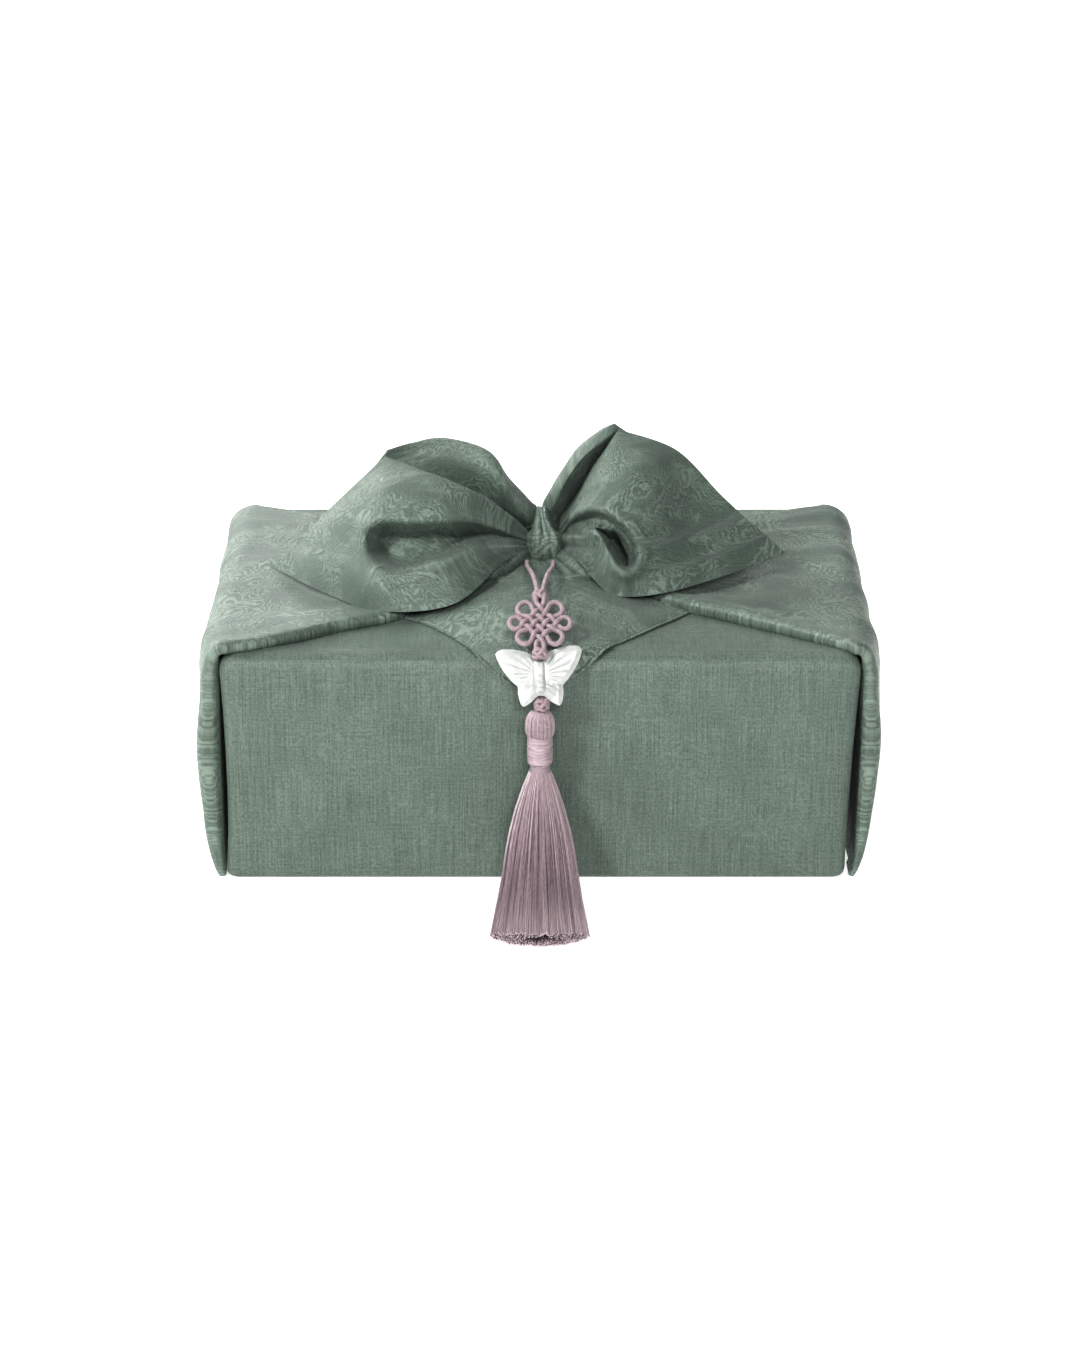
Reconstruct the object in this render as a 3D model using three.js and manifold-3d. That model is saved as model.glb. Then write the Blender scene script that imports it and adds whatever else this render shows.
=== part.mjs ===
import * as THREE from 'three';
import { mergeVertices } from 'three/addons/utils/BufferGeometryUtils.js';
import Module from 'manifold-3d';

// Wrapped gift bundle tied in a two-eared bow, with a knotted tassel ornament.
// Millimetres, +Z up, front at -Y, origin at the middle of the flat underside.

const wasm = await Module();
wasm.setup();

// driving sizes
const bundleHalfX = 135;        // front panel half width
const bundleHalfY = 107;        // half depth
const bundleHeight = 101.5;     // cloth top over the box
const cornerRadius = 4;
const footRadius = 3.5;
const topRadius = 7;
const panelCrown = 1.4;         // outward crown of the front and back panels
const flapStep = 3.4;           // side flap lies this much above the centre cloth
const clothThick = 2.0;         // folded edge of the cloth
const earThick = 1.8;           // sheet of the bow ears
const gap = 0.3;                // parting between neighbouring pieces
const cordRadius = 1.0;
const headRadius = 6.3;
const neckRadius = 5.4;
const coreRadius = 3.9;
const strandCount = 76;
const strandRadius = 0.58;
const strandSides = 3;
const sliver = 0.02;            // shortest step kept along a join

const clamp01 = (t) => Math.max(0, Math.min(1, t));
const ease = (t) => {
  const c = clamp01(t);
  return c * c * (3 - 2 * c);
};
const mix = (a, b, t) => a + (b - a) * t;
const vec = (x, y, z) => new THREE.Vector3(x, y, z);

// height of the centre cloth: flat over the box, mounded below the knot
function clothTop(x, y) {
  const mound = 12 * Math.exp(-((x / 40) ** 2)) * ease((y + 106) / 34) * ease((106 - y) / 60);
  const uneven = 0.5 * Math.sin(x * 0.043 + 1.1) * Math.sin(y * 0.05 + 0.4);
  return bundleHeight + mound + uneven;
}

// mesh helpers
function geometryFrom(points, triangles) {
  const geometry = new THREE.BufferGeometry();
  const flat = points.flatMap((p) => [p.x, p.y, p.z]);
  geometry.setAttribute('position', new THREE.Float32BufferAttribute(flat, 3));
  geometry.setIndex(triangles);
  return geometry;
}

// closed skin through rows of equal loops, joined into a ring or capped at both ends:
// with a fan, or for the two faces of a sheet with a strip across its thickness
function loft(rows, ring = false, sheet = false) {
  const count = rows[0].length;
  const points = rows.flat();
  const triangles = [];
  const spans = ring ? rows.length : rows.length - 1;
  for (let r = 0; r < spans; r += 1) {
    const next = (r + 1) % rows.length;
    for (let i = 0; i < count; i += 1) {
      const j = (i + 1) % count;
      const a = r * count + i;
      const b = r * count + j;
      const c = next * count + j;
      const d = next * count + i;
      triangles.push(a, b, c, a, c, d);
    }
  }
  if (!ring) {
    for (const [row, turn] of [[0, true], [rows.length - 1, false]]) {
      const first = row * count;
      for (let i = 0; sheet && i < count / 2 - 1; i += 1) {
        const a = first + i;
        const b = first + i + 1;
        const c = first + count - 2 - i;
        const d = first + count - 1 - i;
        if (turn) triangles.push(a, c, b, a, d, c);
        else triangles.push(a, b, c, a, c, d);
      }
      if (sheet) continue;
      const middle = vec(0, 0, 0);
      rows[row].forEach((p) => middle.add(p));
      points.push(middle.divideScalar(count));
      const hub = points.length - 1;
      for (let i = 0; i < count; i += 1) {
        const a = row * count + i;
        const b = row * count + ((i + 1) % count);
        if (turn) triangles.push(hub, b, a);
        else triangles.push(hub, a, b);
      }
    }
  }
  return geometryFrom(points, triangles);
}

function volumeOf(geometry) {
  const p = geometry.attributes.position;
  const index = geometry.index.array;
  const a = vec(0, 0, 0);
  const b = vec(0, 0, 0);
  const c = vec(0, 0, 0);
  let sum = 0;
  for (let i = 0; i < index.length; i += 3) {
    a.fromBufferAttribute(p, index[i]);
    b.fromBufferAttribute(p, index[i + 1]);
    c.fromBufferAttribute(p, index[i + 2]);
    sum += a.dot(b.cross(c)) / 6;
  }
  return sum;
}

function solidOf(source) {
  let geometry = source.clone();
  geometry.deleteAttribute('normal');
  geometry.deleteAttribute('uv');
  geometry = mergeVertices(geometry, 1e-4);
  const index = Array.from(geometry.index.array);
  if (volumeOf(geometry) < 0) {
    for (let i = 0; i < index.length; i += 3) {
      [index[i + 1], index[i + 2]] = [index[i + 2], index[i + 1]];
    }
  }
  const mesh = new wasm.Mesh({
    numProp: 3,
    vertProperties: new Float32Array(geometry.attributes.position.array),
    triVerts: new Uint32Array(index),
  });
  mesh.merge();
  return new wasm.Manifold(mesh);
}

function fuse(sources) {
  let whole = null;
  for (const source of sources) {
    const solid = source instanceof THREE.BufferGeometry ? solidOf(source) : source;
    whole = whole === null ? solid : whole.add(solid);
  }
  return whole;
}

// closed pockets between the fused layers are filled in, and slivers along the joins taken up
function cleaned(solid) {
  const shells = solid.simplify(sliver).decompose().filter((shell) => shell.volume() > 0);
  return shells.length === 1 ? shells[0] : wasm.Manifold.union(shells);
}

function geometryOf(solid) {
  const mesh = solid.getMesh();
  const geometry = new THREE.BufferGeometry();
  const stride = mesh.numProp;
  const flat = [];
  for (let i = 0; i < mesh.vertProperties.length; i += stride) {
    flat.push(mesh.vertProperties[i], mesh.vertProperties[i + 1], mesh.vertProperties[i + 2]);
  }
  geometry.setAttribute('position', new THREE.Float32BufferAttribute(flat, 3));
  geometry.setIndex(Array.from(mesh.triVerts));
  return geometry;
}

// smooth curve value through evenly spaced points
function through(points, t) {
  const last = points.length - 1;
  const at = clamp01(t) * last;
  const i = Math.min(last - 1, Math.floor(at));
  const f = at - i;
  const p1 = points[i];
  const p2 = points[i + 1];
  const p0 = i > 0 ? points[i - 1] : p1.clone().multiplyScalar(2).sub(p2);
  const p3 = i + 2 <= last ? points[i + 2] : p2.clone().multiplyScalar(2).sub(p1);
  const one = (a, b, c, d) => 0.5 * (2 * b + (c - a) * f
    + (2 * a - 5 * b + 4 * c - d) * f * f + (3 * b - a - 3 * c + d) * f * f * f);
  return vec(one(p0.x, p1.x, p2.x, p3.x), one(p0.y, p1.y, p2.y, p3.y), one(p0.z, p1.z, p2.z, p3.z));
}

// value of a named column between the rows of a table, the rows sorted by the key column
function column(table, key, name, at) {
  if (at <= table[0][key]) return table[0][name];
  for (let i = 1; i < table.length; i += 1) {
    if (at <= table[i][key]) {
      const f = (at - table[i - 1][key]) / (table[i][key] - table[i - 1][key]);
      return mix(table[i - 1][name], table[i][name], f);
    }
  }
  return table[table.length - 1][name];
}

// bundle: cloth drawn tight over the box
const straightX = 14;
const straightY = 8;
const cornerSteps = 3;

function panelLoop(inset, scale, zAt) {
  const hx = bundleHalfX - inset;
  const hy = bundleHalfY - inset;
  const r = Math.max(0.8, cornerRadius - inset * 0.3);
  const loop = [];
  const corners = [
    { x: hx - r, y: -hy + r, from: -90 },
    { x: hx - r, y: hy - r, from: 0 },
    { x: -hx + r, y: hy - r, from: 90 },
    { x: -hx + r, y: -hy + r, from: 180 },
  ];
  corners.forEach((corner, k) => {
    for (let i = 0; i <= cornerSteps; i += 1) {
      const angle = THREE.MathUtils.degToRad(corner.from + (90 * i) / cornerSteps);
      loop.push([corner.x + r * Math.cos(angle), corner.y + r * Math.sin(angle)]);
    }
    const next = corners[(k + 1) % 4];
    const turn = THREE.MathUtils.degToRad(next.from);
    const start = loop[loop.length - 1];
    const stop = [next.x + r * Math.cos(turn), next.y + r * Math.sin(turn)];
    const steps = k % 2 === 0 ? straightY : straightX;
    for (let i = 1; i < steps; i += 1) {
      loop.push([mix(start[0], stop[0], i / steps), mix(start[1], stop[1], i / steps)]);
    }
  });
  return loop.map(([x, y]) => {
    const z = zAt(x * scale, y * scale);
    const rise = Math.sin(Math.PI * clamp01(z / bundleHeight));
    const crown = panelCrown * rise * Math.cos((Math.PI * x) / (2 * bundleHalfX)) ** 0.5;
    const push = Math.abs(y) > hy - 0.01 && scale === 1 ? Math.sign(y) * crown : 0;
    return vec(x * scale, y * scale + push, z);
  });
}

function bundleBody() {
  const rows = [];
  const foot = [[0, 3.4], [0.9, 1.1], [footRadius, 0]];
  foot.forEach(([z, inset]) => rows.push(panelLoop(inset, 1, () => z)));
  [20, 42, 64, 84].forEach((z) => rows.push(panelLoop(0, 1, () => z)));
  for (const degrees of [0, 30, 60]) {
    const angle = THREE.MathUtils.degToRad(degrees);
    const inset = topRadius * (1 - Math.cos(angle));
    const drop = topRadius * (1 - Math.sin(angle));
    rows.push(panelLoop(inset, 1, () => bundleHeight - drop));
  }
  [1, 0.92, 0.84, 0.75, 0.65, 0.54, 0.42, 0.28].forEach((scale) => {
    rows.push(panelLoop(topRadius, scale, clothTop));
  });
  return loft(rows);
}

// the side cloth, drawn round the end of the box into a rounded upright pleat at each corner
const sidePleatRows = [
  { z: 0.6, left: 3.2, right: 1.2 }, { z: 3, left: 4.5, right: 2.2 },
  { z: 9, left: 6.2, right: 3.6 }, { z: 20, left: 8.4, right: 5.8 },
  { z: 37, left: 10.1, right: 8.6 }, { z: 55, left: 11.3, right: 10.2 },
  { z: 73, left: 11.4, right: 10.3 }, { z: 88, left: 10, right: 9 },
  { z: 96, left: 8.6, right: 7.6 }, { z: 100, left: 5.6, right: 5 },
];

function sidePleat(side) {
  const alongs = [-104.6, -102.5, -98, -90, -72, -36, 0, 36, 72, 90, 98, 102.5, 104.6];
  const rows = sidePleatRows.map((row) => {
    const out = side < 0 ? row.left : row.right;
    const outer = alongs.map((y) => {
      const near = Math.abs(y);
      const belly = 0.82 + 0.18 * ease((near - 20) / 62);
      const nose = near > 94 ? Math.sqrt(Math.max(0, 1 - ((near - 94) / 12.2) ** 2)) : 1;
      const wave = 0.35 * Math.sin(y * 0.11 + row.z * 0.045);
      return vec(side * (bundleHalfX + out * (0.3 + 0.7 * belly * nose) + wave), y, row.z);
    });
    const inner = alongs.slice().reverse().map((y) => {
      const open = ease((Math.abs(y) - 88) / 4);
      const x = mix(bundleHalfX - 3, bundleHalfX + 0.17 * out, open);
      return vec(side * x, y, row.z);
    });
    return outer.concat(inner);
  });
  return loft(rows);
}

// side flaps: from the end of the box over the top, narrowing to the knot, with rolled edges
const leftFlap = [
  { x: 8, front: -16, back: 14, roll: 4.2 }, { x: 20, front: -28, back: 24, roll: 4.4 },
  { x: 40, front: -49, back: 40, roll: 4.4 }, { x: 64, front: -68, back: 58, roll: 4.2 },
  { x: 85, front: -77, back: 72, roll: 3.8 }, { x: 104, front: -92, back: 87, roll: 3.2 },
  { x: 120, front: -101, back: 97, roll: 2.8 }, { x: 135, front: -106, back: 104, roll: 2.4 },
  { x: 144.5, front: -104, back: 103, roll: 2.2 },
];
const rightFlap = [
  { x: 8, front: -15, back: 14, roll: 4.2 }, { x: 20, front: -26, back: 24, roll: 4.4 },
  { x: 40, front: -38, back: 40, roll: 4.4 }, { x: 62, front: -54, back: 57, roll: 4.4 },
  { x: 80, front: -65, back: 70, roll: 4.0 }, { x: 102, front: -80, back: 86, roll: 3.4 },
  { x: 121, front: -95, back: 97, roll: 2.8 }, { x: 135, front: -106, back: 104, roll: 2.4 },
  { x: 144.5, front: -104, back: 103, roll: 2.2 },
];

function flapTop(x, y, front, back, roll) {
  const lift = 2 * roll - flapStep;
  const fromFront = (y - front - roll) / 9;
  const fromBack = (back - roll - y) / 9;
  const rolls = lift * (Math.exp(-(fromFront ** 2)) + Math.exp(-(fromBack ** 2)));
  const crease = 0.5 * Math.sin(y * 0.16 + x * 0.05) * ease((Math.abs(x) - 40) / 60);
  return clothTop(x, y) + flapStep + rolls + crease;
}

function sideFlap(side, table) {
  const stations = [9, 20, 31, 43, 55, 67, 80, 92, 104, 116, 127, 134, 139, 142.5, 144.2];
  const rows = stations.map((x) => {
    const front = column(table, 'x', 'front', x);
    const back = column(table, 'x', 'back', x);
    const roll = column(table, 'x', 'roll', x);
    const over = Math.max(0, x - 133);
    const drop = over > 0 ? 11.6 - Math.sqrt(Math.max(0, 134.56 - over * over)) : 0;
    const floor = clothTop(side * x, 0) - 4 - drop;
    const loop = [];
    const nose = (edge, inward, degrees) => {
      const angle = THREE.MathUtils.degToRad(degrees);
      const base = clothTop(side * x, edge) - 0.6 - drop;
      const y = edge + inward * roll * (1 + Math.cos(angle));
      return vec(side * x, y, base + roll * (1 + Math.sin(angle)));
    };
    loop.push(vec(side * x, front + roll + 1, Math.min(floor, clothTop(side * x, front) - 3 - drop)));
    [-90, -135, 180, 135].forEach((d) => loop.push(nose(front, 1, d)));
    for (let i = 0; i <= 10; i += 1) {
      const y = mix(front + roll, back - roll, i / 10);
      loop.push(vec(side * x, y, flapTop(side * x, y, front, back, roll) - drop));
    }
    [135, 180, -135, -90].forEach((d) => loop.push(nose(back, -1, d)));
    loop.push(vec(side * x, back - roll - 1, Math.min(floor, clothTop(side * x, back) - 3 - drop)));
    return loop;
  });
  return loft(rows);
}

// centre flap: the corner of the cloth laid over the top and hanging down the front
const centreFlapRows = [
  { along: -78, left: -84, right: 80 }, { along: -62, left: -78, right: 76 },
  { along: -48, left: -70, right: 67 }, { along: -32, left: -55, right: 57 },
  { along: -16, left: -43, right: 46 }, { along: -6, left: -35, right: 37 },
  { along: 0, left: -30.5, right: 30 }, { along: 5, left: -27, right: 25.5 },
  { along: 10, left: -22, right: 20 }, { along: 16, left: -14.6, right: 12 },
  { along: 22, left: -7, right: 5 }, { along: 28, left: -0.7, right: 0.5 },
];

// a point of the front skin: along < 0 on the top, 0 to 11 round the edge, more down the front
function frontSkin(x, along, lift) {
  const bend = topRadius;
  const arc = (Math.PI / 2) * bend;
  const edgeY = -(bundleHalfY - bend);
  if (along <= 0) {
    return vec(x, edgeY - along, clothTop(x, edgeY - along) + lift);
  }
  const crown = panelCrown * 0.5;
  if (along < arc) {
    const angle = along / bend;
    const reach = bend + lift;
    const z = clothTop(x, edgeY) - bend + reach * Math.cos(angle);
    return vec(x, edgeY - (reach + crown * (along / arc)) * Math.sin(angle), z);
  }
  return vec(x, edgeY - bend - lift - crown, clothTop(x, edgeY) - bend - (along - arc));
}

function centreFlap() {
  const across = 12;
  const rows = centreFlapRows.map((row) => {
    const outer = [];
    const inner = [];
    for (let i = 0; i <= across; i += 1) {
      const x = mix(row.left, row.right, i / across);
      outer.push(frontSkin(x, row.along, clothThick));
      inner.push(frontSkin(x, row.along, -1.6));
    }
    return outer.concat(inner.reverse());
  });
  return loft(rows, false, true);
}

// bow
// each ear is one gathered sheet: a row per fold line, from the knot outwards
const leftEarFolds = [
  {
    fold: 'back hem', root: [-4, 7, 112], near: [-24, 17, 109.5], mid: [-52, 20, 108.5],
    far: [-80, 16, 108.5], lip: [-93, 12, 108.5], end: [-104, 8, 108.5],
  },
  {
    fold: 'back wall', root: [-3.5, 8, 124], near: [-15, 14, 128], mid: [-36, 20, 134],
    far: [-64, 20, 132], lip: [-79, 15, 128.5], end: [-92, 9, 124],
  },
  {
    fold: 'back top', root: [-3.5, 2, 134.6], near: [-12.9, 4, 144.2], mid: [-25.2, 7, 159.9],
    far: [-45.6, 9, 161.7], lip: [-58.9, 7, 159.9], end: [-68.6, 4, 156.2],
  },
  {
    fold: 'inner', root: [-4.4, 2, 123.5], near: [-16, 3, 126.9], mid: [-31.5, 3, 133.1],
    far: [-49.2, 3, 140.5], lip: [-58.6, 2, 145.8], end: [-66.5, 1, 150.5],
  },
  {
    fold: 'front top', root: [-4.9, -6, 120.4], near: [-15.9, -12, 134.3], mid: [-31.1, -18, 146.3],
    far: [-48.5, -18, 154], lip: [-59.6, -12, 157.2], end: [-70.1, -5, 157.2],
  },
  {
    fold: 'brow', root: [-5.3, -10, 120.3], near: [-20.1, -24, 134.9], mid: [-39.5, -32, 146.5],
    far: [-63.5, -30, 149.9], lip: [-74.8, -20, 148.7], end: [-83.3, -6, 144],
  },
  {
    fold: 'upper rim', root: [-6.2, -10, 119.4], near: [-22.3, -26, 130.9], mid: [-39.5, -36, 140],
    far: [-67.6, -40, 139.4], lip: [-83.4, -27, 138.1], end: [-96.9, -4, 130],
  },
  {
    fold: 'hollow', root: [-7.1, -4, 116.5], near: [-22.5, -12, 118.2], mid: [-41.2, -25, 116.3],
    far: [-66.1, -29, 118.1], lip: [-85.5, -33, 125.8], end: [-107.1, 0, 118.1],
  },
  {
    fold: 'lower rim', root: [-8, -12, 118.2], near: [-24.2, -36, 126.1], mid: [-45.4, -60, 122.8],
    far: [-71.4, -56, 122.1], lip: [-89.8, -37, 120.3], end: [-112.5, -2, 112.9],
  },
  {
    fold: 'bottom', root: [-8.8, -14, 115.6], near: [-20.4, -40, 114], mid: [-43.3, -70, 109.6],
    far: [-75.7, -62, 107.9], lip: [-94.4, -38, 107], end: [-119.2, -3, 107.1],
  },
];
const rightEarFolds = [
  {
    fold: 'back hem', root: [4, 8, 112], near: [24, 18, 109.5], mid: [48, 20, 108.5],
    far: [70, 16, 108.5], lip: [81, 13, 108.5], end: [90, 8, 108.5],
  },
  {
    fold: 'back wall', root: [3, 8, 124], near: [14, 15, 134], mid: [26, 18, 144],
    far: [42, 16, 150], lip: [50, 13.4, 150.4], end: [57, 8.6, 150.6],
  },
  {
    fold: 'strip', root: [0.9, 0, 135.7], near: [9.3, 1, 151.6], mid: [18.1, 2, 161.9],
    far: [27.3, 2, 168.3], lip: [30.8, 1.5, 170.2], end: [33.9, 1, 170.8],
  },
  {
    fold: 'slit', root: [6.2, 2, 123.5], near: [13.8, 7, 135.9], mid: [20.9, 8, 148.6],
    far: [28.8, 7, 159.9], lip: [32.4, 6, 162.6], end: [36, 3.4, 166.4],
  },
  {
    fold: 'wall edge', root: [8, -6, 122.3], near: [17.6, -13, 141.1], mid: [24.5, -14, 155.1],
    far: [31.1, -9, 165.5], lip: [34.2, -5, 168.5], end: [39.6, -1.6, 168.6],
  },
  {
    fold: 'wall', root: [8.8, -9, 122.3], near: [21.4, -22, 142.5], mid: [35.3, -24, 153.6],
    far: [49.8, -17, 157.8], lip: [55.3, -9, 159.6], end: [60.3, -2, 160.3],
  },
  {
    fold: 'rim', root: [8.4, -10, 121.2], near: [16.6, -28, 136.6], mid: [28.2, -37, 141.6],
    far: [46.4, -37, 139.4], lip: [64.5, -18, 139], end: [80, -3, 140.3],
  },
  {
    fold: 'hollow', root: [9.3, -4, 117.9], near: [20.8, -9, 120.9], mid: [33.1, -13, 120.3],
    far: [46.6, -38, 123.3], lip: [72.1, -18, 122.9], end: [95.4, -1, 124.9],
  },
  {
    fold: 'tongue', root: [10.2, -12, 119.1], near: [22.3, -31, 122.5], mid: [34, -46, 117.4],
    far: [49.3, -44, 116.8], lip: [76.5, -22, 114.9], end: [102.7, 0, 118.5],
  },
  {
    fold: 'bottom', root: [12.8, -12, 117.7], near: [21.4, -30, 113.1], mid: [30.7, -48, 110.5],
    far: [51.7, -45, 108.2], lip: [79.4, -25, 109.5], end: [108.5, 0, 112.7],
  },
];

function earPoint(folds, across, along) {
  const lines = folds.map((f) => through([f.root, f.near, f.mid, f.far, f.lip, f.end].map((p) => vec(...p)), along));
  return through(lines, across);
}

function earSheet(folds, acrossSteps, alongSteps) {
  const grid = [];
  const step = 1e-3;
  for (let i = 0; i <= alongSteps; i += 1) {
    const row = [];
    for (let j = 0; j <= acrossSteps; j += 1) {
      const u = i / alongSteps;
      const v = j / acrossSteps;
      const p = earPoint(folds, v, u);
      const du = earPoint(folds, v, Math.min(1, u + step)).sub(earPoint(folds, v, Math.max(0, u - step)));
      const dv = earPoint(folds, Math.min(1, v + step), u).sub(earPoint(folds, Math.max(0, v - step), u));
      row.push({ p, n: du.cross(dv).normalize() });
    }
    grid.push(row);
  }
  // a closed loop of both faces at every step along
  return loft(grid.map((row) => {
    const front = row.map(({ p, n }) => p.clone().addScaledVector(n, earThick / 2));
    const rear = row.map(({ p, n }) => p.clone().addScaledVector(n, -earThick / 2));
    return front.concat(rear.reverse());
  }), false, true);
}

// knot: a barrel of wrapped cloth, its band narrower than the gathers on each side
const knotCentre = { y: -6, z: 121.6 };
const knotRows = [
  { x: -10, reach: 0.24 }, { x: -7.5, reach: 0.52 }, { x: -5.6, reach: 0.8 }, { x: -5, reach: 0.98 },
  { x: 0, reach: 1.03 }, { x: 5, reach: 0.98 }, { x: 5.6, reach: 0.8 }, { x: 7.5, reach: 0.52 },
  { x: 10, reach: 0.24 },
];

function knotBarrel() {
  const sides = 22;
  return loft(knotRows.map((row) => {
    const loop = [];
    for (let i = 0; i < sides; i += 1) {
      const angle = (2 * Math.PI * i) / sides;
      const pleat = 1 + 0.03 * Math.sin(5 * angle + row.x * 0.2);
      loop.push(vec(
        row.x + 1.2 * Math.sin(angle),
        knotCentre.y + 15.5 * row.reach * pleat * Math.cos(angle),
        knotCentre.z + 13.2 * row.reach * pleat * Math.sin(angle),
      ));
    }
    return loop;
  }));
}

// gathered cloth below the knot, pleated like a fan
function gatherMound() {
  const sides = 28;
  const profile = [
    { radius: 30, z: 104 }, { radius: 28, z: 110 }, { radius: 20, z: 113.5 }, { radius: 10, z: 116 },
  ];
  return loft(profile.map((ring) => {
    const loop = [];
    for (let i = 0; i < sides; i += 1) {
      const angle = (2 * Math.PI * i) / sides;
      const pleat = 1 + 0.05 * Math.sin(7 * angle);
      loop.push(vec(ring.radius * pleat * Math.cos(angle),
        -5 + 0.86 * ring.radius * pleat * Math.sin(angle), ring.z));
    }
    return loop;
  }));
}

function underKnotRoll() {
  const path = new THREE.CatmullRomCurve3([
    vec(-32, -32, 109.6), vec(-20, -39, 110.4), vec(-4, -42, 111), vec(12, -40, 111.2), vec(28, -32, 110),
  ]);
  const rows = path.getPoints(10).map((p, i) => {
    const size = mix(2.6, 4.6, Math.sin((Math.PI * i) / 10));
    const loop = [];
    for (let k = 0; k < 10; k += 1) {
      const angle = (2 * Math.PI * k) / 10;
      loop.push(vec(p.x, p.y + size * Math.cos(angle), p.z + 0.8 * size * Math.sin(angle)));
    }
    return loop;
  });
  return loft(rows);
}

function cloth() {
  const leftEar = earSheet(leftEarFolds, 27, 13);
  const rightEar = earSheet(rightEarFolds, 27, 13);
  return cleaned(fuse([
    bundleBody(), sidePleat(1), sidePleat(-1), centreFlap(), sideFlap(-1, leftFlap),
    sideFlap(1, rightFlap), gatherMound(), underKnotRoll(), knotBarrel(), leftEar, rightEar,
  ]));
}

// ornament
// cord from both sides of the knot, meeting above the first button knot
function cordLoop() {
  const half = [vec(-5.8, -24, 116.1), vec(-5.4, -38, 118.4), vec(-3.2, -55, 120.4), vec(-1.6, -73, 121.2)];
  const turn = [vec(-0.9, -80.6, 121), vec(0, -82, 120.9), vec(0.9, -80.6, 121)];
  const back = half.slice().reverse().map((p) => vec(-p.x, p.y, p.z));
  const path = new THREE.CatmullRomCurve3([...half, ...turn, ...back], false, 'centripetal');
  const section = new THREE.Shape();
  for (let i = 0; i <= 8; i += 1) {
    const angle = (2 * Math.PI * i) / 8;
    const method = i === 0 ? 'moveTo' : 'lineTo';
    section[method](cordRadius * Math.cos(angle), cordRadius * Math.sin(angle));
  }
  return new THREE.ExtrudeGeometry(section, { steps: 40, bevelEnabled: false, extrudePath: path });
}

// round knot of three turns
function buttonKnot(centre, radius, height, axis) {
  const sides = 10;
  const up = vec(...axis).normalize();
  const right = vec(1, 0, 0);
  const front = up.clone().cross(right).normalize();
  const rows = [];
  const steps = 6;
  for (let k = 0; k <= steps; k += 1) {
    const t = k / steps;
    const angle = Math.PI * mix(0.08, 0.92, t);
    const lobes = 1 + 0.07 * Math.cos(3 * 2 * Math.PI * t);
    const loop = [];
    for (let i = 0; i < sides; i += 1) {
      const turn = (2 * Math.PI * i) / sides;
      const r = radius * Math.sin(angle) * lobes * (1 + 0.05 * Math.sin(3 * turn + 4 * t));
      loop.push(vec(...centre)
        .addScaledVector(up, -0.5 * height * Math.cos(angle))
        .addScaledVector(right, r * Math.cos(turn))
        .addScaledVector(front, r * Math.sin(turn)));
    }
    rows.push(loop);
  }
  return loft(rows);
}

// woven lattice knot: four cords each way, six side loops
const lattice = { centre: [0, -101.4, 114], tilt: 32, pitch: 3.1, stretch: 1.16, cord: 1.0 };

function latticePoint(a, b, lift) {
  const across = (a - b) * lattice.pitch * Math.SQRT1_2;
  const down = (a + b) * lattice.pitch * Math.SQRT1_2 * lattice.stretch;
  const angle = THREE.MathUtils.degToRad(lattice.tilt);
  return vec(
    lattice.centre[0] + across,
    lattice.centre[1] - down * Math.cos(angle) - lift * Math.sin(angle),
    lattice.centre[2] - down * Math.sin(angle) + lift * Math.cos(angle),
  );
}

// each cord runs through lattice crossings (a, b) and the loop points between them
const latticeCords = [
  {
    ring: false,
    points: [[-3.0, -2.2], [-2, -1.5], [0, -1.5], [2, -1.5], [3.2, -2.1], [2.9, -3.3], [1.5, -3.1],
      [1.5, -2], [1.5, 0], [1.5, 2], [2.2, 2.9]],
  },
  {
    ring: false,
    points: [[-2.2, -3.0], [-1.5, -2], [-1.5, 0], [-1.5, 2], [-2.1, 3.2], [-3.3, 2.9], [-3.1, 1.5],
      [-2, 1.5], [0, 1.5], [2, 1.5], [2.9, 2.2]],
  },
  {
    ring: true,
    points: [[-0.5, -2.4], [-0.5, 0], [-0.5, 2.4], [-0.3, 3.7], [0.8, 3.9], [0.5, 2.4], [0.5, 0],
      [0.5, -2.4], [0.2, -3.9], [-0.9, -3.7]],
  },
  {
    ring: true,
    points: [[-2.4, -0.5], [0, -0.5], [2.4, -0.5], [3.7, -0.3], [3.9, 0.8], [2.4, 0.5], [0, 0.5],
      [-2.4, 0.5], [-3.9, 0.2], [-3.7, -0.9]],
  },
];

function endlessKnot() {
  const cords = latticeCords.map((cord, k) => {
    const lift = k % 2 === 0 ? 0.35 : -0.35;
    const path = new THREE.CatmullRomCurve3(
      cord.points.map(([a, b]) => latticePoint(a, b, lift)), cord.ring, 'centripetal');
    const steps = 34;
    const sides = 5;
    const frames = path.computeFrenetFrames(steps, cord.ring);
    const rows = [];
    const total = cord.ring ? steps : steps + 1;
    for (let i = 0; i < total; i += 1) {
      const p = path.getPointAt(i / steps);
      const loop = [];
      for (let s = 0; s < sides; s += 1) {
        const angle = (2 * Math.PI * s) / sides;
        loop.push(p.clone().addScaledVector(frames.normals[i], lattice.cord * Math.cos(angle))
          .addScaledVector(frames.binormals[i], lattice.cord * Math.sin(angle)));
      }
      rows.push(loop);
    }
    return loft(rows, cord.ring);
  });
  return cleaned(fuse(cords));
}

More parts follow.
